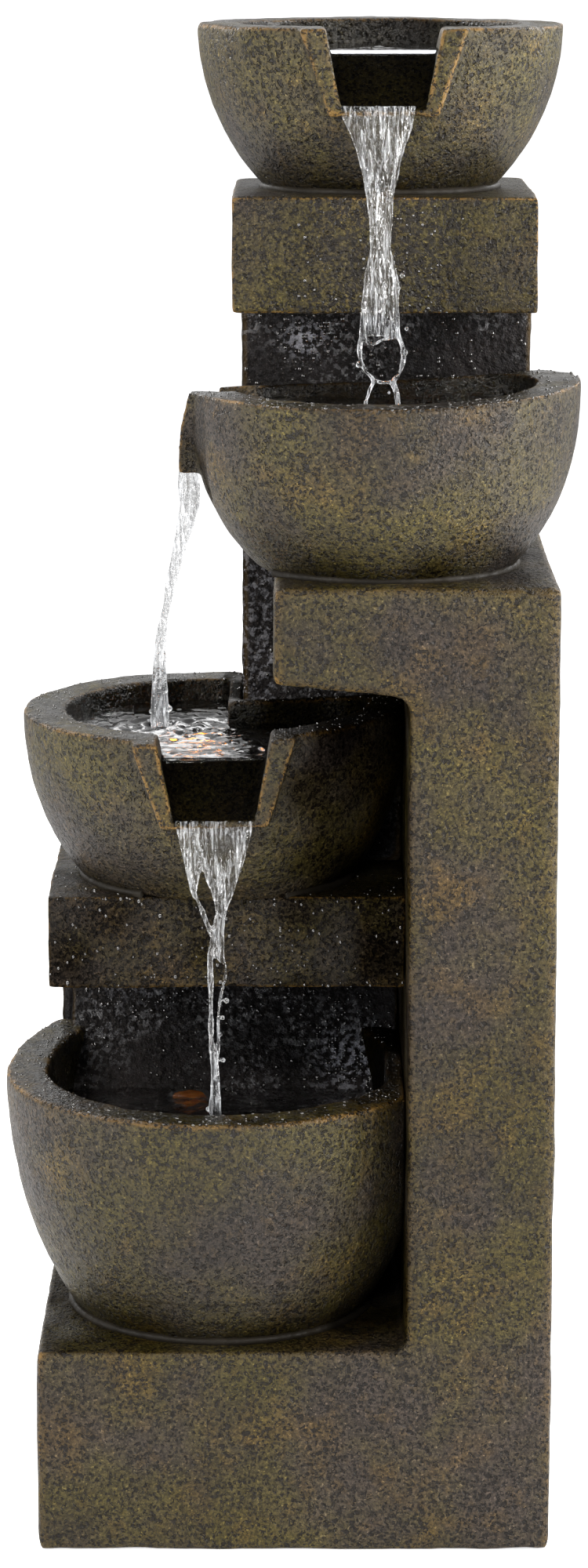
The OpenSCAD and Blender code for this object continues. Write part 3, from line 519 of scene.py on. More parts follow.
def mesh_in_metres(name, bm):
    """The mesh of a form built in millimetres."""
    mesh = bpy.data.meshes.new(name)
    bm.to_mesh(mesh)
    bm.free()
    mesh.transform(TO_METRES)
    return mesh


def piece(name, mesh, material, body=BODY):
    """A visible piece that moves with a body of the frame."""
    mesh.materials.clear()
    mesh.materials.append(material)
    smooth_shade(mesh)
    obj = bpy.data.objects.new(name, mesh)
    bpy.context.scene.collection.objects.link(obj)
    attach(obj, body)
    return obj


def store(mesh, name, values):
    attribute = mesh.attributes.new(name, "FLOAT", "POINT")
    attribute.data.foreach_set("value", np.clip(values, 0, 1).astype(np.float32))


def smoothstep(value, low, high):
    t = np.clip((value - low) / (high - low), 0, 1)
    return t * t * (3 - 2 * t)


# ---- castings ----

def bowl_places(node, points):
    """Places in mm from a bowl's axis, and how far below its rim they are."""
    bowl = BOWLS[node]
    x, y, z = (points / MM).T
    return x - bowl["centre"][0], y - bowl["centre"][1], bowl["rim"] - z


def spout_places(node, x, y):
    """How far places given from a bowl's axis lie along its spout, and to the side of it."""
    out = math.radians(SPOUT_AZIMUTH[node])
    along = x * math.cos(out) + y * math.sin(out)
    across = np.abs(-x * math.sin(out) + y * math.cos(out))
    return along, across


def chute_half(below):
    """Half the width of a spout's channel, which narrows downwards."""
    return CHANNEL_HALF + 3 - 11 * np.clip(below, 0, 60) / 55


def back_stretch(node, inset=0):
    """How much longer a bowl's back half is than a round one, at an inset from the rim."""
    radius = BOWLS[node]["radius"]
    back = BASIN_BACK if node == "bowl_basin" else radius
    return (back - inset) / (radius - inset)


def hollow_radius(bowl, drop):
    share = HOLLOW_FULLNESS * drop / bowl["depth"]
    return (bowl["radius"] - RIM_W) * math.sqrt(1 - share ** HOLLOW_POWER)


def bowl_wetness(node, points):
    """Wet inside the bowl, on the chute and in splashes on the rim."""
    bowl = BOWLS[node]
    x, y, below = bowl_places(node, points)
    reach = np.hypot(x, np.where(y > 0, y / back_stretch(node), y))
    inner = bowl["radius"] - RIM_W
    within = (below < bowl["depth"] - 8) | (reach < 0.8 * inner)
    inside = (1 - smoothstep(reach, inner - 1, inner + 3)) * within
    splash = lattice_noise(points, 0.028, 5) + 0.5 * lattice_noise(points, 0.009, 6)
    on_rim = (1 - smoothstep(below, 1.0, 3.0)) * smoothstep(splash, -0.7, 0.1)
    wet = np.maximum(inside, on_rim * (0.55 if node == "bowl_top" else 0.9))
    if node in SPOUT_AZIMUTH:
        along, across = spout_places(node, x, y)
        chute = (across < chute_half(below)) * (along > inner - 8) * smoothstep(below, 12, 16)
        wet = np.maximum(wet, chute * (1 - smoothstep(below, 49, 53)))
    return wet


def damp_and_painted_shade(node, points, facing):
    """Places kept nearly black: painted shade in corners, under the bowls, beside a spout's cheeks and on
    sides turned towards -X; damp stone on the mid block and the top block; darker tops of the frame; the
    chutes; and the insides of the hollows.
    """
    x, y, z = (points / MM).T
    if node == "bowl_third":
        # Painted shadow of the arm and column over the right side, and painted shade on the back beside the
        # tower
        dark = np.maximum(smoothstep(x, -45, 35), 0.95 * smoothstep(x, -56, -48) * smoothstep(y, 5, 20))
    elif node == "mid_block":
        # Painted shade under the arm, deeper to the right and lighter on front faces, on damp stone
        dark = (0.58 + 0.36 * smoothstep(x, -60, 60)) * (1 - 0.75 * smoothstep(facing[:, 1], 0.2, 0.8))
    elif node == "bowl_basin":
        # Painted shade in the back right corner, by the column
        dark = 0.92 * smoothstep(x, 30, 46) * smoothstep(y, -8, 20)
    elif node == "front_frame":
        # Painted shade on the column's inner face; upward faces are darker, more so low on the base
        inward = smoothstep(-facing[:, 0], 0.5, 0.9) * (np.abs(x - COLUMN_LEFT) < 3)
        dark = 0.85 * inward * (z < 580)
        upward = smoothstep(facing[:, 2], 0.6, 0.9)
        dark = np.maximum(dark, upward * np.where(z < 200, 0.72, 0.58))
    elif node == "top_block":
        # The top is darker, as it is damp
        dark = 0.4 * smoothstep(facing[:, 2], 0.6, 0.9)
    elif node in WET_WALLS:
        # Painted shade on faces turned towards -X
        dark = smoothstep(-facing[:, 0], 0.3, 0.8)
    else:
        dark = np.zeros(len(points))
    chute = 0
    if node in BOWLS:
        bowl = BOWLS[node]
        inner = bowl["radius"] - RIM_W
        x, y, below = bowl_places(node, points)
        # Painted shade under the bowl, darker towards its foot
        dark = np.maximum(dark, 0.62 * (1 - smoothstep(bowl["height"] - below, 4, 50)))
        if node in SPOUT_AZIMUTH:
            along, across = spout_places(node, x, y)
            chute = (across < chute_half(below)) * (along > inner - 8) * smoothstep(below, 10, 14)
            chute = 0.82 * chute * (1 - smoothstep(below, 50, 53))
            if node == "bowl_second":
                # Painted shadow on the sides of the spout's cheeks
                dark = np.maximum(dark, 0.6 * (along > 104) * smoothstep(across, 26, 32))
        # Darker inside the hollow
        hollow = 1 - smoothstep(np.hypot(x, y), inner, inner + 3)
        dark = np.maximum(dark, 0.6 * hollow * (below < bowl["depth"] + 3))
    return np.maximum(dark * (0.8 + 0.4 * lattice_noise(points, 0.03, 21)), chute)


def spatter(node, points):
    """Where splashes have left the surface peppered with dark spots."""
    x, _, z = (points / MM).T
    if node == "top_block":
        return 0.35 + 0.65 * (1 - smoothstep(np.abs(x - 56), 15, 80))
    if node == "mid_block":
        return np.full(len(points), 0.55)
    if node == "bowl_top":
        return 0.5 * (1 - smoothstep(np.abs(x - 56), 20, 70)) * (1 - smoothstep(z, 930, 960))
    return np.zeros(len(points))


def spray_and_painted_glint(node, points):
    """Clusters beside the falling water on the wet walls: wet patches that glint, and where painted glint is
    laid into the colour.
    """
    x, _, z = (points / MM).T
    if node == "lower_wall":
        right = np.exp(-((x - 40) / 26) ** 2 - ((z - 284) / 22) ** 2)
        left = 0.6 * np.exp(-((x + 108) / 36) ** 2 - ((z - 336) / 20) ** 2)
        return np.maximum(right, left)
    if node == "rear_tower":
        cluster = np.exp(-((x - 8) / 17) ** 2 - ((z - 792) / 14) ** 2)
        return np.maximum(cluster, 0.4 * (x < -13) * (z < 760))
    return np.zeros(len(points))


def rim_warp(node, points):
    """The second and third bowls sit slightly out of level, as hand-laid castings do."""
    x, y, _ = bowl_places(node, points)
    radius = BOWLS[node]["radius"]
    low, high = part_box(node)
    share = np.clip((points[:, 2] - low.z) / (high.z - low.z), 0, 1)
    moved = points.copy()
    for rise, azimuth in RIM_LEANS.get(node, ()):
        lean = math.radians(azimuth)
        side = np.clip((x * math.cos(lean) + y * math.sin(lean)) / radius, 0, 1)
        moved[:, 2] += rise * MM * side ** 1.5 * share
    return moved


def scoop_form(mesh):
    """Adds to the lower wall a hollow curve over its full width that runs down into the basin."""
    bm = bmesh.new()
    bm.from_mesh(mesh)
    behind = WALL_FRONT + 3
    top = SCOOP_LIP + SCOOP_RISE + 0.5
    sections = []
    for x in (SCOOP_LEFT, 32, 42, 50, 57, 63, 68, 71, COLUMN_LEFT - 1):
        into = max(x - (COLUMN_LEFT - SCOOP_CORNER), 0)
        front = SCOOP_FRONT - SCOOP_CORNER + math.sqrt(SCOOP_CORNER ** 2 - into ** 2)
        outline = [(behind, top), (behind, SCOOP_UNDER), (front, SCOOP_UNDER)]
        for k in range(SCOOP_STEPS + 1):
            t = k / SCOOP_STEPS
            outline.append((front + (WALL_FRONT - front) * t, SCOOP_LIP + SCOOP_RISE * t ** 1.5))
        sections.append([bm.verts.new(Vector((x, y, z)) * MM) for y, z in outline])
    for near, far in zip(sections, sections[1:]):
        for k in range(len(near)):
            j = (k + 1) % len(near)
            bm.faces.new((near[k], near[j], far[j], far[k]))
    bm.faces.new(sections[0][::-1])
    bm.faces.new(sections[-1])
    bmesh.ops.recalc_face_normals(bm, faces=bm.faces)
    bm.to_mesh(mesh)
    bm.free()


def casting(node, material):
    """The worn form of a casting, with its wear, wet places and dark places (painted shade and damp) stored
    for its finish.
    """
    voxel, rounds = CASTINGS[node]
    form = frame["nodes"][node].data.copy()
    form.transform(frame["nodes"][node].matrix_world)
    if node == "lower_wall":
        scoop_form(form)
    remesh = ("REMESH", {"mode": "VOXEL", "voxel_size": voxel * MM})
    mesh = shaped(form, [remesh, ("SMOOTH", {"iterations": rounds, "factor": 0.5})])
    spread = int(WEAR_ROUNDS * (3.0 / voxel) ** 2)
    soft = shaped(mesh, [("SMOOTH", {"iterations": spread, "factor": 0.5})])
    points = vertices(mesh)
    facing = normals(mesh)
    bulge = np.einsum("ij,ij->i", points - vertices(soft), facing) / MM
    wave = 0.55 * lattice_noise(points, 0.055, 1) + 0.35 * lattice_noise(points, 0.016, 2)
    chips = 0.16 * lattice_noise(points, 0.006, 3)
    nibble = -np.clip(lattice_noise(points, 0.011, 4), 0, 1) * np.clip(bulge, 0, 1) * 1.1
    lumps = (0.45 if node in WET_WALLS else 0.0) * lattice_noise(points, 0.0065, 7)
    moved = points + facing * ((wave + chips + nibble + lumps) * MM)[:, None]
    moved[:, 2] = np.where(points[:, 2] < 0.002, np.maximum(moved[:, 2], 0), moved[:, 2])
    set_vertices(mesh, rim_warp(node, moved) if node in BOWLS else moved)
    store(mesh, "edge", bulge * 1.1)
    # Concave places, which carry painted shade in creases
    store(mesh, "crease_shade", -bulge * 1.5 - 0.25)
    store(mesh, "wet", bowl_wetness(node, points) if node in BOWLS else np.zeros(len(points)))
    store(mesh, "dark", damp_and_painted_shade(node, points, facing))
    store(mesh, "spatter", spatter(node, points))
    store(mesh, "spray_and_painted_glint", spray_and_painted_glint(node, points))
    if node in WET_WALLS:
        store(mesh, "dry", smoothstep(points[:, 1], *DRY_BAND))
    obj = piece(node + "_casting", mesh, material)
    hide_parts(node)
    return obj


# ---- water ----

def in_hollow(node, x, y, margin):
    """Whether points (mm) lie inside a bowl's hollow at the water level, grown by a margin."""
    bowl = BOWLS[node]
    dx = x - bowl["centre"][0]
    dy = y - bowl["centre"][1]
    radius = hollow_radius(bowl, bowl["drop"]) + margin
    inside = np.hypot(dx, np.where(dy > 0, dy / back_stretch(node, RIM_W), dy)) < radius
    if node == "bowl_second":
        inside &= y < TOWER_FRONT - WEB + margin
    if node == "bowl_third":
        inside &= (y < TOWER_FRONT - WEB + margin) | (x < TOWER_LEFT - WEB + margin)
        inside &= x < COLUMN_LEFT - WEB + margin
    if node == "bowl_basin":
        inside &= (y < WALL_FRONT - WEB - 2 + margin) & (x < COLUMN_LEFT - WEB - 2 + margin)
    if node in SPOUT_AZIMUTH:
        along, across = spout_places(node, dx, dy)
        inside |= (along > 0) & (along < bowl["radius"] - WEIR_INSET + 1) & (across < CHANNEL_HALF)
    return inside


def ripple(node, x, y):
    """Height of the water in mm about its level: rings round each splash, and a slight swell."""
    height = np.zeros_like(x)
    for cx, cy, size in SPLASHES[node]:
        away = np.hypot(x - cx, y - cy)
        height += size * np.cos(away / 2.1) * np.exp(-away / 26)
        height += 0.45 * size * np.cos(away / 4.3 + 1) * np.exp(-away / 60)
    flat = np.column_stack([x, y, np.zeros_like(x)])
    swell = 0.18 if node == "bowl_top" else 0.8
    height += swell * lattice_noise(flat, 9.0, 11) + 0.5 * swell * lattice_noise(flat, 4.0, 12)
    return height


def pool(node, material):
    """Water that fills a bowl's hollow to its level: rippled above, flat below."""
    bowl = BOWLS[node]
    cx, cy = bowl["centre"]
    reach = bowl["radius"] if node != "bowl_basin" else BASIN_BACK
    nx = int(2 * reach / POOL_CELL)
    xs = cx - reach + POOL_CELL * np.arange(nx)
    ys = cy - reach + POOL_CELL * np.arange(nx)
    gx, gy = np.meshgrid(xs, ys, indexing="ij")
    inside = in_hollow(node, gx.ravel(), gy.ravel(), 2.5).reshape(gx.shape)
    cells = inside[:-1, :-1] & inside[1:, :-1] & inside[:-1, 1:] & inside[1:, 1:]
    level = bowl["rim"] - bowl["drop"]
    top = ripple(node, gx.ravel(), gy.ravel()) + level
    count = gx.size
    index = np.arange(count).reshape(gx.shape)
    upper = np.column_stack([gx.ravel(), gy.ravel(), top])
    lower = np.column_stack([gx.ravel(), gy.ravel(), np.full(count, level - POOL_DEPTH)])
    faces = []
    for i, j in zip(*np.nonzero(cells)):
        a, b, c, d = index[i, j], index[i + 1, j], index[i + 1, j + 1], index[i, j + 1]
        faces.append((a, b, c, d))
        faces.append((d + count, c + count, b + count, a + count))
        for di, dj, p, q in ((0, -1, a, b), (1, 0, b, c), (0, 1, c, d), (-1, 0, d, a)):
            if not cells[min(max(i + di, 0), nx - 2), min(max(j + dj, 0), nx - 2)]:
                faces.append((q, p, p + count, q + count))
    points = np.vstack([upper, lower]) * MM
    used = sorted({v for face in faces for v in face})
    place = {v: k for k, v in enumerate(used)}
    mesh = bpy.data.meshes.new(node + "_water")
    mesh.from_pydata(points[used].tolist(), [], [[place[v] for v in face] for face in faces])
    mesh.update()
    return piece(node + "_water", mesh, material)


def curve_through(points, count):
    """Evenly spread points on a smooth curve through the given points."""
    points = np.asarray(points, float)
    ends = np.vstack([2 * points[0] - points[1], points, 2 * points[-1] - points[-2]])
    result = []
    spans = len(points) - 1
    for k in range(count):
        s = k / (count - 1) * spans
        i = min(int(s), spans - 1)
        t = s - i
        a, b, c, d = ends[i:i + 4]
        result.append(0.5 * (2 * b + (c - a) * t + (2 * a - 5 * b + 4 * c - d) * t * t
                             + (3 * b - a - 3 * c + d) * t ** 3))
    return np.array(result)


def add_strand(bm, points, radius, seed, beads=0.35, sides=8):
    """A rope of water whose thickness swells and thins along it."""
    line = curve_through(points, 12 * len(points))
    swells = beads * lattice_noise(line, 9.0, seed)
    lumps = 0.5 * beads * lattice_noise(line, 4.0, seed + 1)
    thick = np.maximum(radius * (1 + swells + lumps), STRAND_LEAST)
    rings = []
    for k, centre in enumerate(line):
        ahead = line[min(k + 1, len(line) - 1)] - line[max(k - 1, 0)]
        along = Vector(ahead).normalized()
        across = along.cross(Vector((0.1, 1, 0.05))).normalized()
        out = along.cross(across)
        ring = []
        for i in range(sides):
            a = 2 * math.pi * i / sides
            spot = Vector(centre) + (across * math.cos(a) + out * math.sin(a)) * float(thick[k])
            ring.append(bm.verts.new(spot))
        rings.append(ring)
    for low, high in zip(rings, rings[1:]):
        for i in range(sides):
            j = (i + 1) % sides
            bm.faces.new((low[i], low[j], high[j], high[i]))
    bm.faces.new(rings[0][::-1])
    bm.faces.new(rings[-1])


def add_sheet(bm, left, right, thickness, seed):
    """A thin sheet of water between two edges, ridged along the flow."""
    across = SHEET_COLUMNS
    rows = 14 * len(left)
    a = curve_through(left, rows)
    b = curve_through(right, rows)
    share = np.linspace(0, 1, across)
    front, back = [], []
    for k in range(rows):
        line = a[k] + (b[k] - a[k]) * share[:, None]
        sample = np.column_stack([share * 60, np.full(across, k * 0.9), np.zeros(across)])
        ridge = lattice_noise(sample, 3.6, seed) + 0.6 * lattice_noise(sample, 1.9, seed + 1)
        drift = np.column_stack([share * 30, np.full(across, k * 0.5), np.zeros(across)])
        sway = 1.6 * lattice_noise(drift, 7.0, seed + 2)
        half = thickness * (1 + 0.55 * ridge) / 2
        front.append([bm.verts.new(p + np.array([0, s - h, 0])) for p, s, h in zip(line, sway, half)])
        back.append([bm.verts.new(p + np.array([0, s + h, 0])) for p, s, h in zip(line, sway, half)])
    for k in range(rows - 1):
        for i in range(across - 1):
            bm.faces.new((front[k][i], front[k][i + 1], front[k + 1][i + 1], front[k + 1][i]))
            bm.faces.new((back[k][i + 1], back[k][i], back[k + 1][i], back[k + 1][i + 1]))
        for i, turn in ((0, 1), (across - 1, -1)):
            side = (front[k][i], front[k + 1][i], back[k + 1][i], back[k][i])
            bm.faces.new(side[::turn])
    for k, turn in ((0, -1), (rows - 1, 1)):
        for i in range(across - 1):
            end = (front[k][i], front[k][i + 1], back[k][i + 1], back[k][i])
            bm.faces.new(end[::turn])


def add_drop(bm, centre, radius):
    made = bmesh.ops.create_icosphere(bm, subdivisions=2, radius=radius)
    bmesh.ops.translate(bm, verts=made["verts"], vec=Vector(centre))


def stream(name, material, sheets, strands, drops):
    """Falling water, melted together from sheets, strands and loose drops."""
    bm = bmesh.new()
    for seed, (left, right, thickness) in enumerate(sheets):
        add_sheet(bm, left, right, thickness, 40 + 10 * seed)
    for seed, (points, radius) in enumerate(strands):
        add_strand(bm, points, radius, 140 + 10 * seed)
    for centre, radius in drops:
        add_drop(bm, centre, radius)
    bmesh.ops.recalc_face_normals(bm, faces=bm.faces)
    rough = mesh_in_metres(name + "_form", bm)
    remesh = ("REMESH", {"mode": "VOXEL", "voxel_size": STREAM_CELL * MM})
    mesh = shaped(rough, [remesh, ("SMOOTH", {"iterations": 4, "factor": 0.5})])
    return piece(name, mesh, material)


def weir_crest(node, material, lift):
    """The rounded edge of the water where it runs over a weir."""
    bowl = BOWLS[node]
    out = math.radians(SPOUT_AZIMUTH[node])
    forward = np.array([math.cos(out), math.sin(out), 0])
    side = np.array([-math.sin(out), math.cos(out), 0])
    centre = np.array([*bowl["centre"], bowl["rim"] - bowl["drop"] + lift], float)
    centre = centre + forward * (bowl["radius"] - WEIR_INSET)
    line = [centre + side * across for across in np.linspace(-CHANNEL_HALF, CHANNEL_HALF, 7)]
    bm = bmesh.new()
    add_strand(bm, line, CREST_RADIUS, 500, beads=0.08, sides=12)
    return piece(node + "_crest", mesh_in_metres(node + "_crest", bm), material)


# The streams: places in mm along their edges, ropes and loose drops, from the spout downwards

def top_stream(material):
    left = [(30.5, -91, 953), (34, -92, 941), (38.3, -92, 931), (43.3, -92, 916), (47.4, -92, 896),
            (49.5, -92, 876), (50, -92, 858)]
    right = [(76, -91, 953), (73.5, -92, 941), (70.6, -92, 931), (66.2, -92, 916), (62.3, -92, 896),
             (61, -92, 876), (59.5, -92, 858)]
    low_left = [(50, -92, 862), (46.6, -92, 847), (44.3, -92, 827), (43.2, -92, 807)]
    low_right = [(60, -92, 862), (64.8, -92, 847), (65.4, -92, 827), (67, -92, 807)]
    left_leg = [(43.2, -92, 808), (42.0, -92, 796), (45.2, -92, 786), (50.7, -92, 779), (48, -92, 771),
                (44, -92, 756)]
    right_leg = [(67, -92, 808), (70.3, -92, 796), (67.8, -92, 784), (63.8, -92, 778), (66, -92, 770),
                 (67.5, -92, 756)]
    bridge = [(50.7, -92, 779), (57, -92, 777.5), (63.8, -92, 778)]
    crown = [(43.5, -92, 807), (50, -92, 802), (57, -92, 805), (67, -92, 807)]
    left_rope = [(45, -93, 945), (49, -94, 925), (53, -94, 905), (55, -94, 880), (56, -93, 858)]
    right_rope = [(62, -93, 945), (61, -94, 925), (58.5, -94, 905), (57, -94, 880), (55, -93, 862)]
    low_rope = [(56, -93, 866), (52.5, -94, 850), (60, -94, 838), (56, -93, 825)]
    sheets = [(left, right, 1.5), (low_left, low_right, 1.4)]
    strands = [(left, 1.5), (right, 1.5), (low_left, 1.4), (low_right, 1.7), (left_leg, 1.5),
               (right_leg, 1.7), (bridge, 1.3), (crown, 1.3), (left_rope, 1.3), (right_rope, 1.2),
               (low_rope, 1.1)]
    drops = [((70.5, -93, 797), 2.6), ((41.5, -93, 789), 2.2), ((72, -92, 812), 1.6), ((73.5, -92, 815), 0.9),
             ((46, -92, 765), 1.4), ((61, -92, 771), 1.3), ((69, -93, 846), 1.8), ((67, -93, 838), 1.5)]
    return stream("stream_top", material, sheets, strands, drops)


def left_stream(material):
    left = [(-75, -3, 713), (-76.3, -2, 699), (-75.2, 0, 686), (-77.4, 2, 673), (-80, 5, 655),
            (-84.8, 8, 634), (-86.4, 10, 620), (-89.5, 12, 606), (-93, 14, 589), (-94.8, 17, 568),
            (-95.6, 19, 552), (-96.5, 21, 529)]
    right = [(-64, -3, 713), (-63.4, -2, 702), (-64, 0, 686), (-67.4, 2, 672), (-73, 5, 656),
             (-78.5, 8, 636), (-83, 10, 620), (-86, 12, 604), (-87.4, 15, 586), (-87.3, 17, 568),
             (-86.4, 19, 554), (-85.4, 21, 529)]
    middle = [(-69, -3, 713), (-70, 0, 690), (-73, 4, 665), (-81, 8, 637), (-85, 11, 612), (-90, 15, 588),
              (-91, 18, 560), (-91, 21, 529)]
    strands = [(left, 1.1), (right, 1.1), (middle, 0.9)]
    drops = [((-84.6, 20, 543), 2.3), ((-97.5, 20, 541), 1.4), ((-82, 21, 534), 1.2), ((-99, 20, 535), 1.0)]
    return stream("stream_left", material, [(left, right, 1.1)], strands, drops)


def third_stream(material):
    left = [(-76, -126, 497), (-73.5, -127, 484), (-67.5, -127, 458), (-64, -127, 446)]
    inner_left = [(-68, -126, 497), (-65.5, -127, 484), (-62, -127, 470), (-60.5, -127, 464)]
    inner_right = [(-68, -126, 497), (-63, -127, 482), (-57, -127, 462), (-51.5, -127, 446),
                   (-49.5, -127, 434)]
    right = [(-28, -126, 497), (-30.7, -127, 481), (-37, -127, 459), (-43.5, -127, 441), (-46, -127, 431)]
    left_leg = [(-65, -127, 450), (-60, -127, 438), (-57, -127, 430), (-53.5, -127, 421)]
    trunk_left = [(-49.5, -127, 434), (-52, -127, 421), (-54.5, -127, 408), (-54.3, -127, 385),
                  (-54.2, -126, 352), (-53, -125, 331), (-53.5, -125, 300), (-53, -124, 264)]
    trunk_right = [(-46, -127, 431), (-46.8, -127, 412), (-47, -127, 402)]
    right_leg = [(-47, -127, 412), (-44.6, -127, 396), (-48, -127, 379), (-49.5, -127, 366),
                 (-49.5, -126, 347), (-50.3, -126, 334), (-48.5, -125, 300), (-48.5, -124, 264)]
    bridge = [(-63, -127, 466), (-61, -127, 468), (-58.5, -127, 464)]
    foot = [(-52, -125, 322), (-51.5, -125, 300), (-51, -124, 264)]
    sheets = [(left, inner_left, 1.3), (inner_right, right, 1.4), (trunk_left[:3], trunk_right, 1.3)]
    strands = [(left, 1.5), (inner_right, 1.4), (right, 1.4), (left_leg, 1.6), (trunk_left, 2.0),
               (trunk_right, 1.2), (right_leg, 1.1), (bridge, 1.2), (foot, 2.4)]
    drops = [((-44.2, -127, 377), 2.1), ((-46.6, -127, 365.5), 1.7), ((-48, -127, 354), 1.5),
             ((-46.6, -126, 336.5), 1.9), ((-56.5, -125, 303), 1.8)]
    return stream("stream_third", material, sheets, strands, drops)


# ---- standing drops ----

# Drops: name, casting, count, largest radius in mm, seed, and where in mm and on which faces they cling
DROPS = (
    ("wall_drops", "lower_wall", 420, 1.9, 1,
     lambda x, y, z, n: (n[:, 1] < -0.3) & (z > 262) & (z < 368) & (x > -160) & (x < 70)),
    ("tower_drops", "rear_tower", 420, 1.5, 2,
     lambda x, y, z, n: (n[:, 1] < -0.5) & (y < 42)),
    ("wall_spray", "lower_wall", 260, 1.5, 8,
     lambda x, y, z, n: (n[:, 1] < -0.2) & (np.hypot(x - 44, (z - 292) * 0.8) < 26)),
    ("wall_spray_left", "lower_wall", 170, 1.4, 9,
     lambda x, y, z, n: (n[:, 1] < -0.2) & (np.hypot((x + 105) * 0.6, z - 335) < 26)),
    ("tower_spray", "rear_tower", 150, 1.3, 10,
     lambda x, y, z, n: (n[:, 1] < -0.5) & (np.hypot(x - 8, z - 790) < 20)),
    ("block_drops", "mid_block", 240, 1.5, 3,
     lambda x, y, z, n: (n[:, 1] < -0.5) | ((n[:, 2] > 0.6) & (y < 30))),
    ("top_block_drops", "top_block", 130, 1.1, 4,
     lambda x, y, z, n: (n[:, 1] < -0.5) & (np.abs(x - 56) < 55)),
)


def standing_drops(name, casting_obj, material, count, radius, seed, keep):
    """Drops of water that cling to a wet casting, on the faces that keep(x, y, z, normal) allows."""
    mesh = casting_obj.data
    points = vertices(mesh)
    facing = normals(mesh)
    x, y, z = (points / MM).T
    choices = np.nonzero(keep(x, y, z, facing))[0]
    random = np.random.RandomState(seed)
    picked = random.choice(choices, count, replace=False)
    sizes = radius * (0.35 + 0.65 * random.rand(count) ** 2)
    bm = bmesh.new()
    bmesh.ops.create_icosphere(bm, subdivisions=2, radius=1.0)
    ball = np.array([v.co for v in bm.verts])
    faces = np.array([[v.index for v in f.verts] for f in bm.faces])
    bm.free()
    spots, polygons = [], []
    for number, (index, size) in enumerate(zip(picked, sizes)):
        hang = np.array([1, 1, 1.4 - 0.4 * abs(facing[index][2])])
        spots.append(ball * hang * size * MM + points[index] - facing[index] * size * 0.35 * MM)
        polygons.append(faces + number * len(ball))
    drops = bpy.data.meshes.new(name)
    drops.from_pydata(np.vstack(spots).tolist(), [], np.vstack(polygons).tolist())
    return piece(name, drops, material)


# ---- sealant at the feet of the bowls ----

def foot_seal(node, seal, material, keep):
    """An uneven bead round a bowl's foot, only where keep(x, y) says that a face carries it."""
    cx, cy = BOWLS[node]["centre"]
    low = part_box(seal)[0]
    radius = BOWLS[node]["foot"] + BEAD_OUT
    bm = bmesh.new()
    run = []
    for k in range(BEAD_STEPS + 1):
        a = 2 * math.pi * k / BEAD_STEPS + math.pi / 2
        x = cx + radius * math.cos(a)
        y = radius * math.sin(a)
        y = cy + (y * back_stretch(node) if y > 0 else y)
        carried = keep(x, y)
        if carried:
            run.append((x, y, low.z / MM + BEAD_UP))
        if (not carried or k == BEAD_STEPS) and len(run) > 3:
            add_strand(bm, run[::3], BEAD_RADIUS, 300, beads=0.2, sides=10)
        if not carried:
            run = []
    obj = piece(seal + "_bead", mesh_in_metres(seal, bm), material)
    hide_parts(seal)


# ---- stage ----

def softbox(name, at, aim, size, power, colour):
    light = bpy.data.lights.new(name, "AREA")
    light.shape = "RECTANGLE"
    light.size, light.size_y = size
    light.energy = power
    light.color = colour
    obj = bpy.data.objects.new(name, light)
    obj.location = at
    obj.rotation_euler = (Vector(aim) - Vector(at)).to_track_quat("-Z", "Y").to_euler()
    obj.visible_camera = False
    bpy.context.scene.collection.objects.link(obj)


def place_camera():
    scene = bpy.context.scene
    camera = bpy.data.objects.new("camera", bpy.data.cameras.new("camera"))
    camera.location = CAMERA_AT
    camera.rotation_euler = (math.radians(CAMERA_TILT), 0, 0)
    camera.data.lens = CAMERA_LENS
    scene.collection.objects.link(camera)
    scene.camera = camera


def light_room():
    """A white backdrop to the eye; as a light it is bright behind the fountain and dim in front."""
    scene = bpy.context.scene
    scene.view_settings.view_transform = "Standard"
    world = bpy.data.worlds.new("studio")
    world.use_nodes = True
    tree = world.node_tree
    back = tree.nodes["Background"]
    back.inputs["Color"].default_value = (*WHITE, 1)
    toward = tree.nodes.new("ShaderNodeSeparateXYZ")
    tree.links.new(tree.nodes.new("ShaderNodeTexCoord").outputs["Generated"], toward.inputs[0])
    ahead = tree.nodes.new("ShaderNodeMapRange")
    ahead.interpolation_type = "SMOOTHSTEP"
    for socket, value in (("From Min", -0.25), ("From Max", 0.75), ("To Min", DIM_ROOM), ("To Max", 0.95)):
        ahead.inputs[socket].default_value = value
    tree.links.new(toward.outputs["Y"], ahead.inputs["Value"])
    seen = tree.nodes.new("ShaderNodeLightPath")
    level = tree.nodes.new("ShaderNodeMath")
    level.operation = "MAXIMUM"
    tree.links.new(seen.outputs["Is Camera Ray"], level.inputs[0])
    tree.links.new(ahead.outputs["Result"], level.inputs[1])
    tree.links.new(level.outputs[0], back.inputs["Strength"])
    scene.world = world


def lay_floor():
    mesh = bpy.data.meshes.new("floor")
    corners = [(-1, -1), (1, -1), (1, 1), (-1, 1)]
    mesh.from_pydata([(x * FLOOR_REACH, y * FLOOR_REACH, 0) for x, y in corners], [], [(0, 1, 2, 3)])
    floor = bpy.data.objects.new("floor", mesh)
    floor.location.z = FLOOR_LEVEL
    g = Graph("pale_floor")
    g.set(Base_Color=(0.93, 0.93, 0.93), Roughness=0.9, Emission_Color=WHITE)
    seen = g.add("ShaderNodeLightPath").outputs["Is Camera Ray"]
    g.set(Emission_Strength=g.step(seen, 0.0, 1.0, 0.0, 0.7))
    mesh.materials.append(g.material)
    bpy.context.scene.collection.objects.link(floor)


# ---- assembly ----

place_camera()
light_room()
lay_floor()
for box in SOFTBOXES:
    softbox(*box)

stone = casting_material("weathered_casting", 0.30)
satin_stone = casting_material("weathered_bowl", 0.36)
wet_wall = wet_wall_material()
water = water_material()
sealant = plain_material("sealant", (0.016, 0.013, 0.009), 0.5, 160.0, 0.0010, level=0.15)

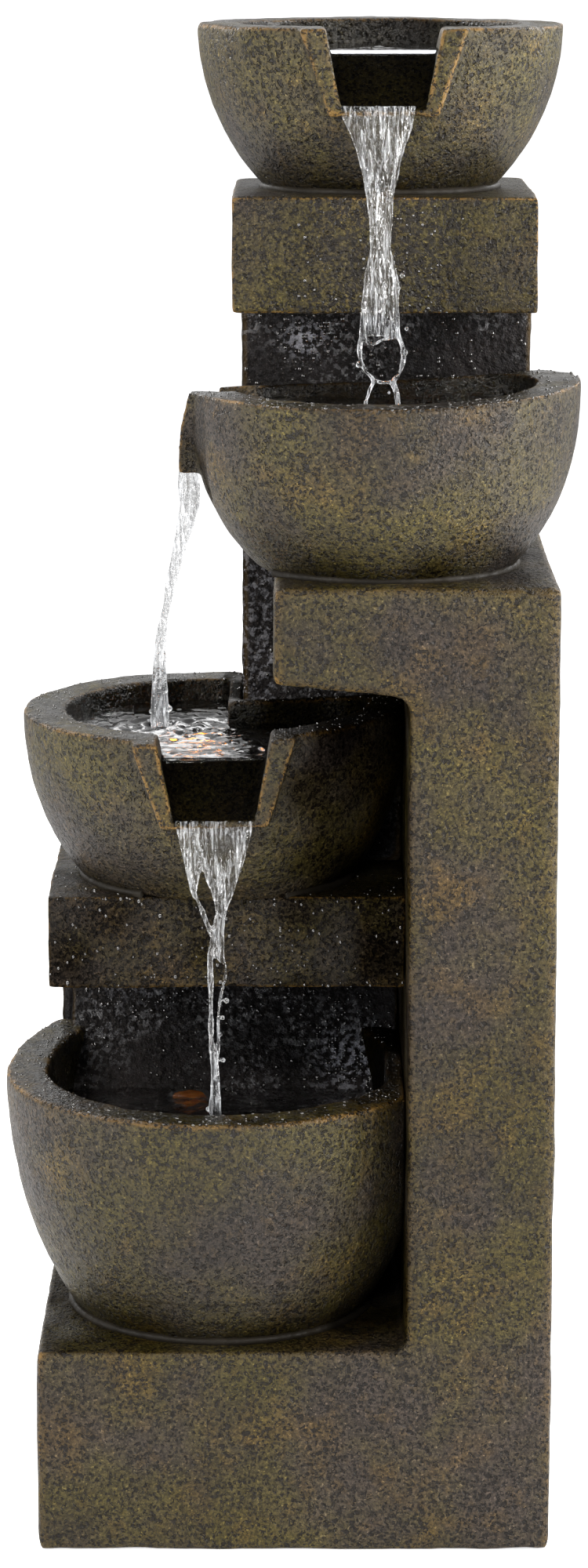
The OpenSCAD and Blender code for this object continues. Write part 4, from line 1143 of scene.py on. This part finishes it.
castings = {}
for node in CASTINGS:
    finish = satin_stone if node in BOWLS else stone
    castings[node] = casting(node, wet_wall if node in WET_WALLS else finish)

for node in BOWLS:
    pool(node, water)

# The fast water glows with painted light; the left stream glows a little all over
froth = froth_material("fast_water", 0.0)
top_stream(froth)
left_stream(froth_material("fast_water_bright", 0.05))
third_stream(froth)
# Painted highlight: the top weir's crest glows in place of the reflection of a light on it
painted_highlight_crest = froth_material("painted_highlight_crest", 0.55)
for node in SPOUT_AZIMUTH:
    top = node == "bowl_top"
    weir_crest(node, painted_highlight_crest if top else water, 1.0 if top else -0.3)

bead = bead_material()
for name, node, count, radius, seed, keep in DROPS:
    standing_drops(name, castings[node], bead, count, radius, seed, keep)
for seed, node in enumerate(("bowl_basin", "bowl_third", "bowl_second"), 5):
    rim = BOWLS[node]["rim"]
    standing_drops(node + "_drops", castings[node], bead, 260, 1.3, seed,
                   lambda x, y, z, n: (n[:, 2] > 0.7) & (z > rim - 2))


def on_arm(x, y):
    return -13 < x < 171 and -138 < y < TOWER_FRONT


def on_block(x, y):
    on_front = -164 < x < COLUMN_LEFT and -66 < y < TOWER_FRONT
    on_back = -164 < x < TOWER_LEFT and y < 138
    return on_front or (on_back and y > 0)


def on_base(x, y):
    return x < COLUMN_LEFT and -138 < y < WALL_FRONT


foot_seal("bowl_top", "seal_top", sealant, lambda x, y: True)
foot_seal("bowl_second", "seal_second", sealant, on_arm)
foot_seal("bowl_third", "seal_third", sealant, on_block)
foot_seal("bowl_basin", "seal_basin", sealant, on_base)

FINISHES = {
    "panel": plain_material("panel_skin", (0.075, 0.068, 0.045), 0.6, 420.0, 0.0004, 0.3),
    "steel": brushed_material("stainless", (0.62, 0.61, 0.59), 0.32),
    "latch_grey": brushed_material("latch_alloy", (0.42, 0.42, 0.43), 0.38),
    "rubber_black": plain_material("black_rubber", (0.018, 0.018, 0.018), 0.75),
    "plug_rubber": plain_material("red_rubber", (0.30, 0.035, 0.018), 0.6),
    "tank_plastic": plain_material("tank_plastic", (0.045, 0.05, 0.055), 0.45),
    "pump_plastic": plain_material("pump_plastic", (0.018, 0.021, 0.024), 0.4),
    "impeller_plastic": plain_material("impeller_plastic", (0.62, 0.58, 0.5), 0.4),
    "dial_plastic": plain_material("dial_plastic", (0.60, 0.25, 0.03), 0.3),
    "hose_clear": plain_material("vinyl_hose", (0.45, 0.52, 0.50), 0.25),
}
LAMPS = {
    "lamp_lens_second": lamp_material("amber_lamp_second", 5.0),
    "lamp_lens_third": lamp_material("amber_lamp_third", 9.0),
    "lamp_lens_basin": lamp_material("amber_lamp_basin", 0.0),
}
SLOT_OF = {part["node"]: part["material_slot"] for part in frame["record"]["subparts"]}
for name, obj in frame["nodes"].items():
    finish = LAMPS.get(name) or FINISHES.get(SLOT_OF[name])
    if finish:
        obj.data.materials.clear()
        obj.data.materials.append(finish)
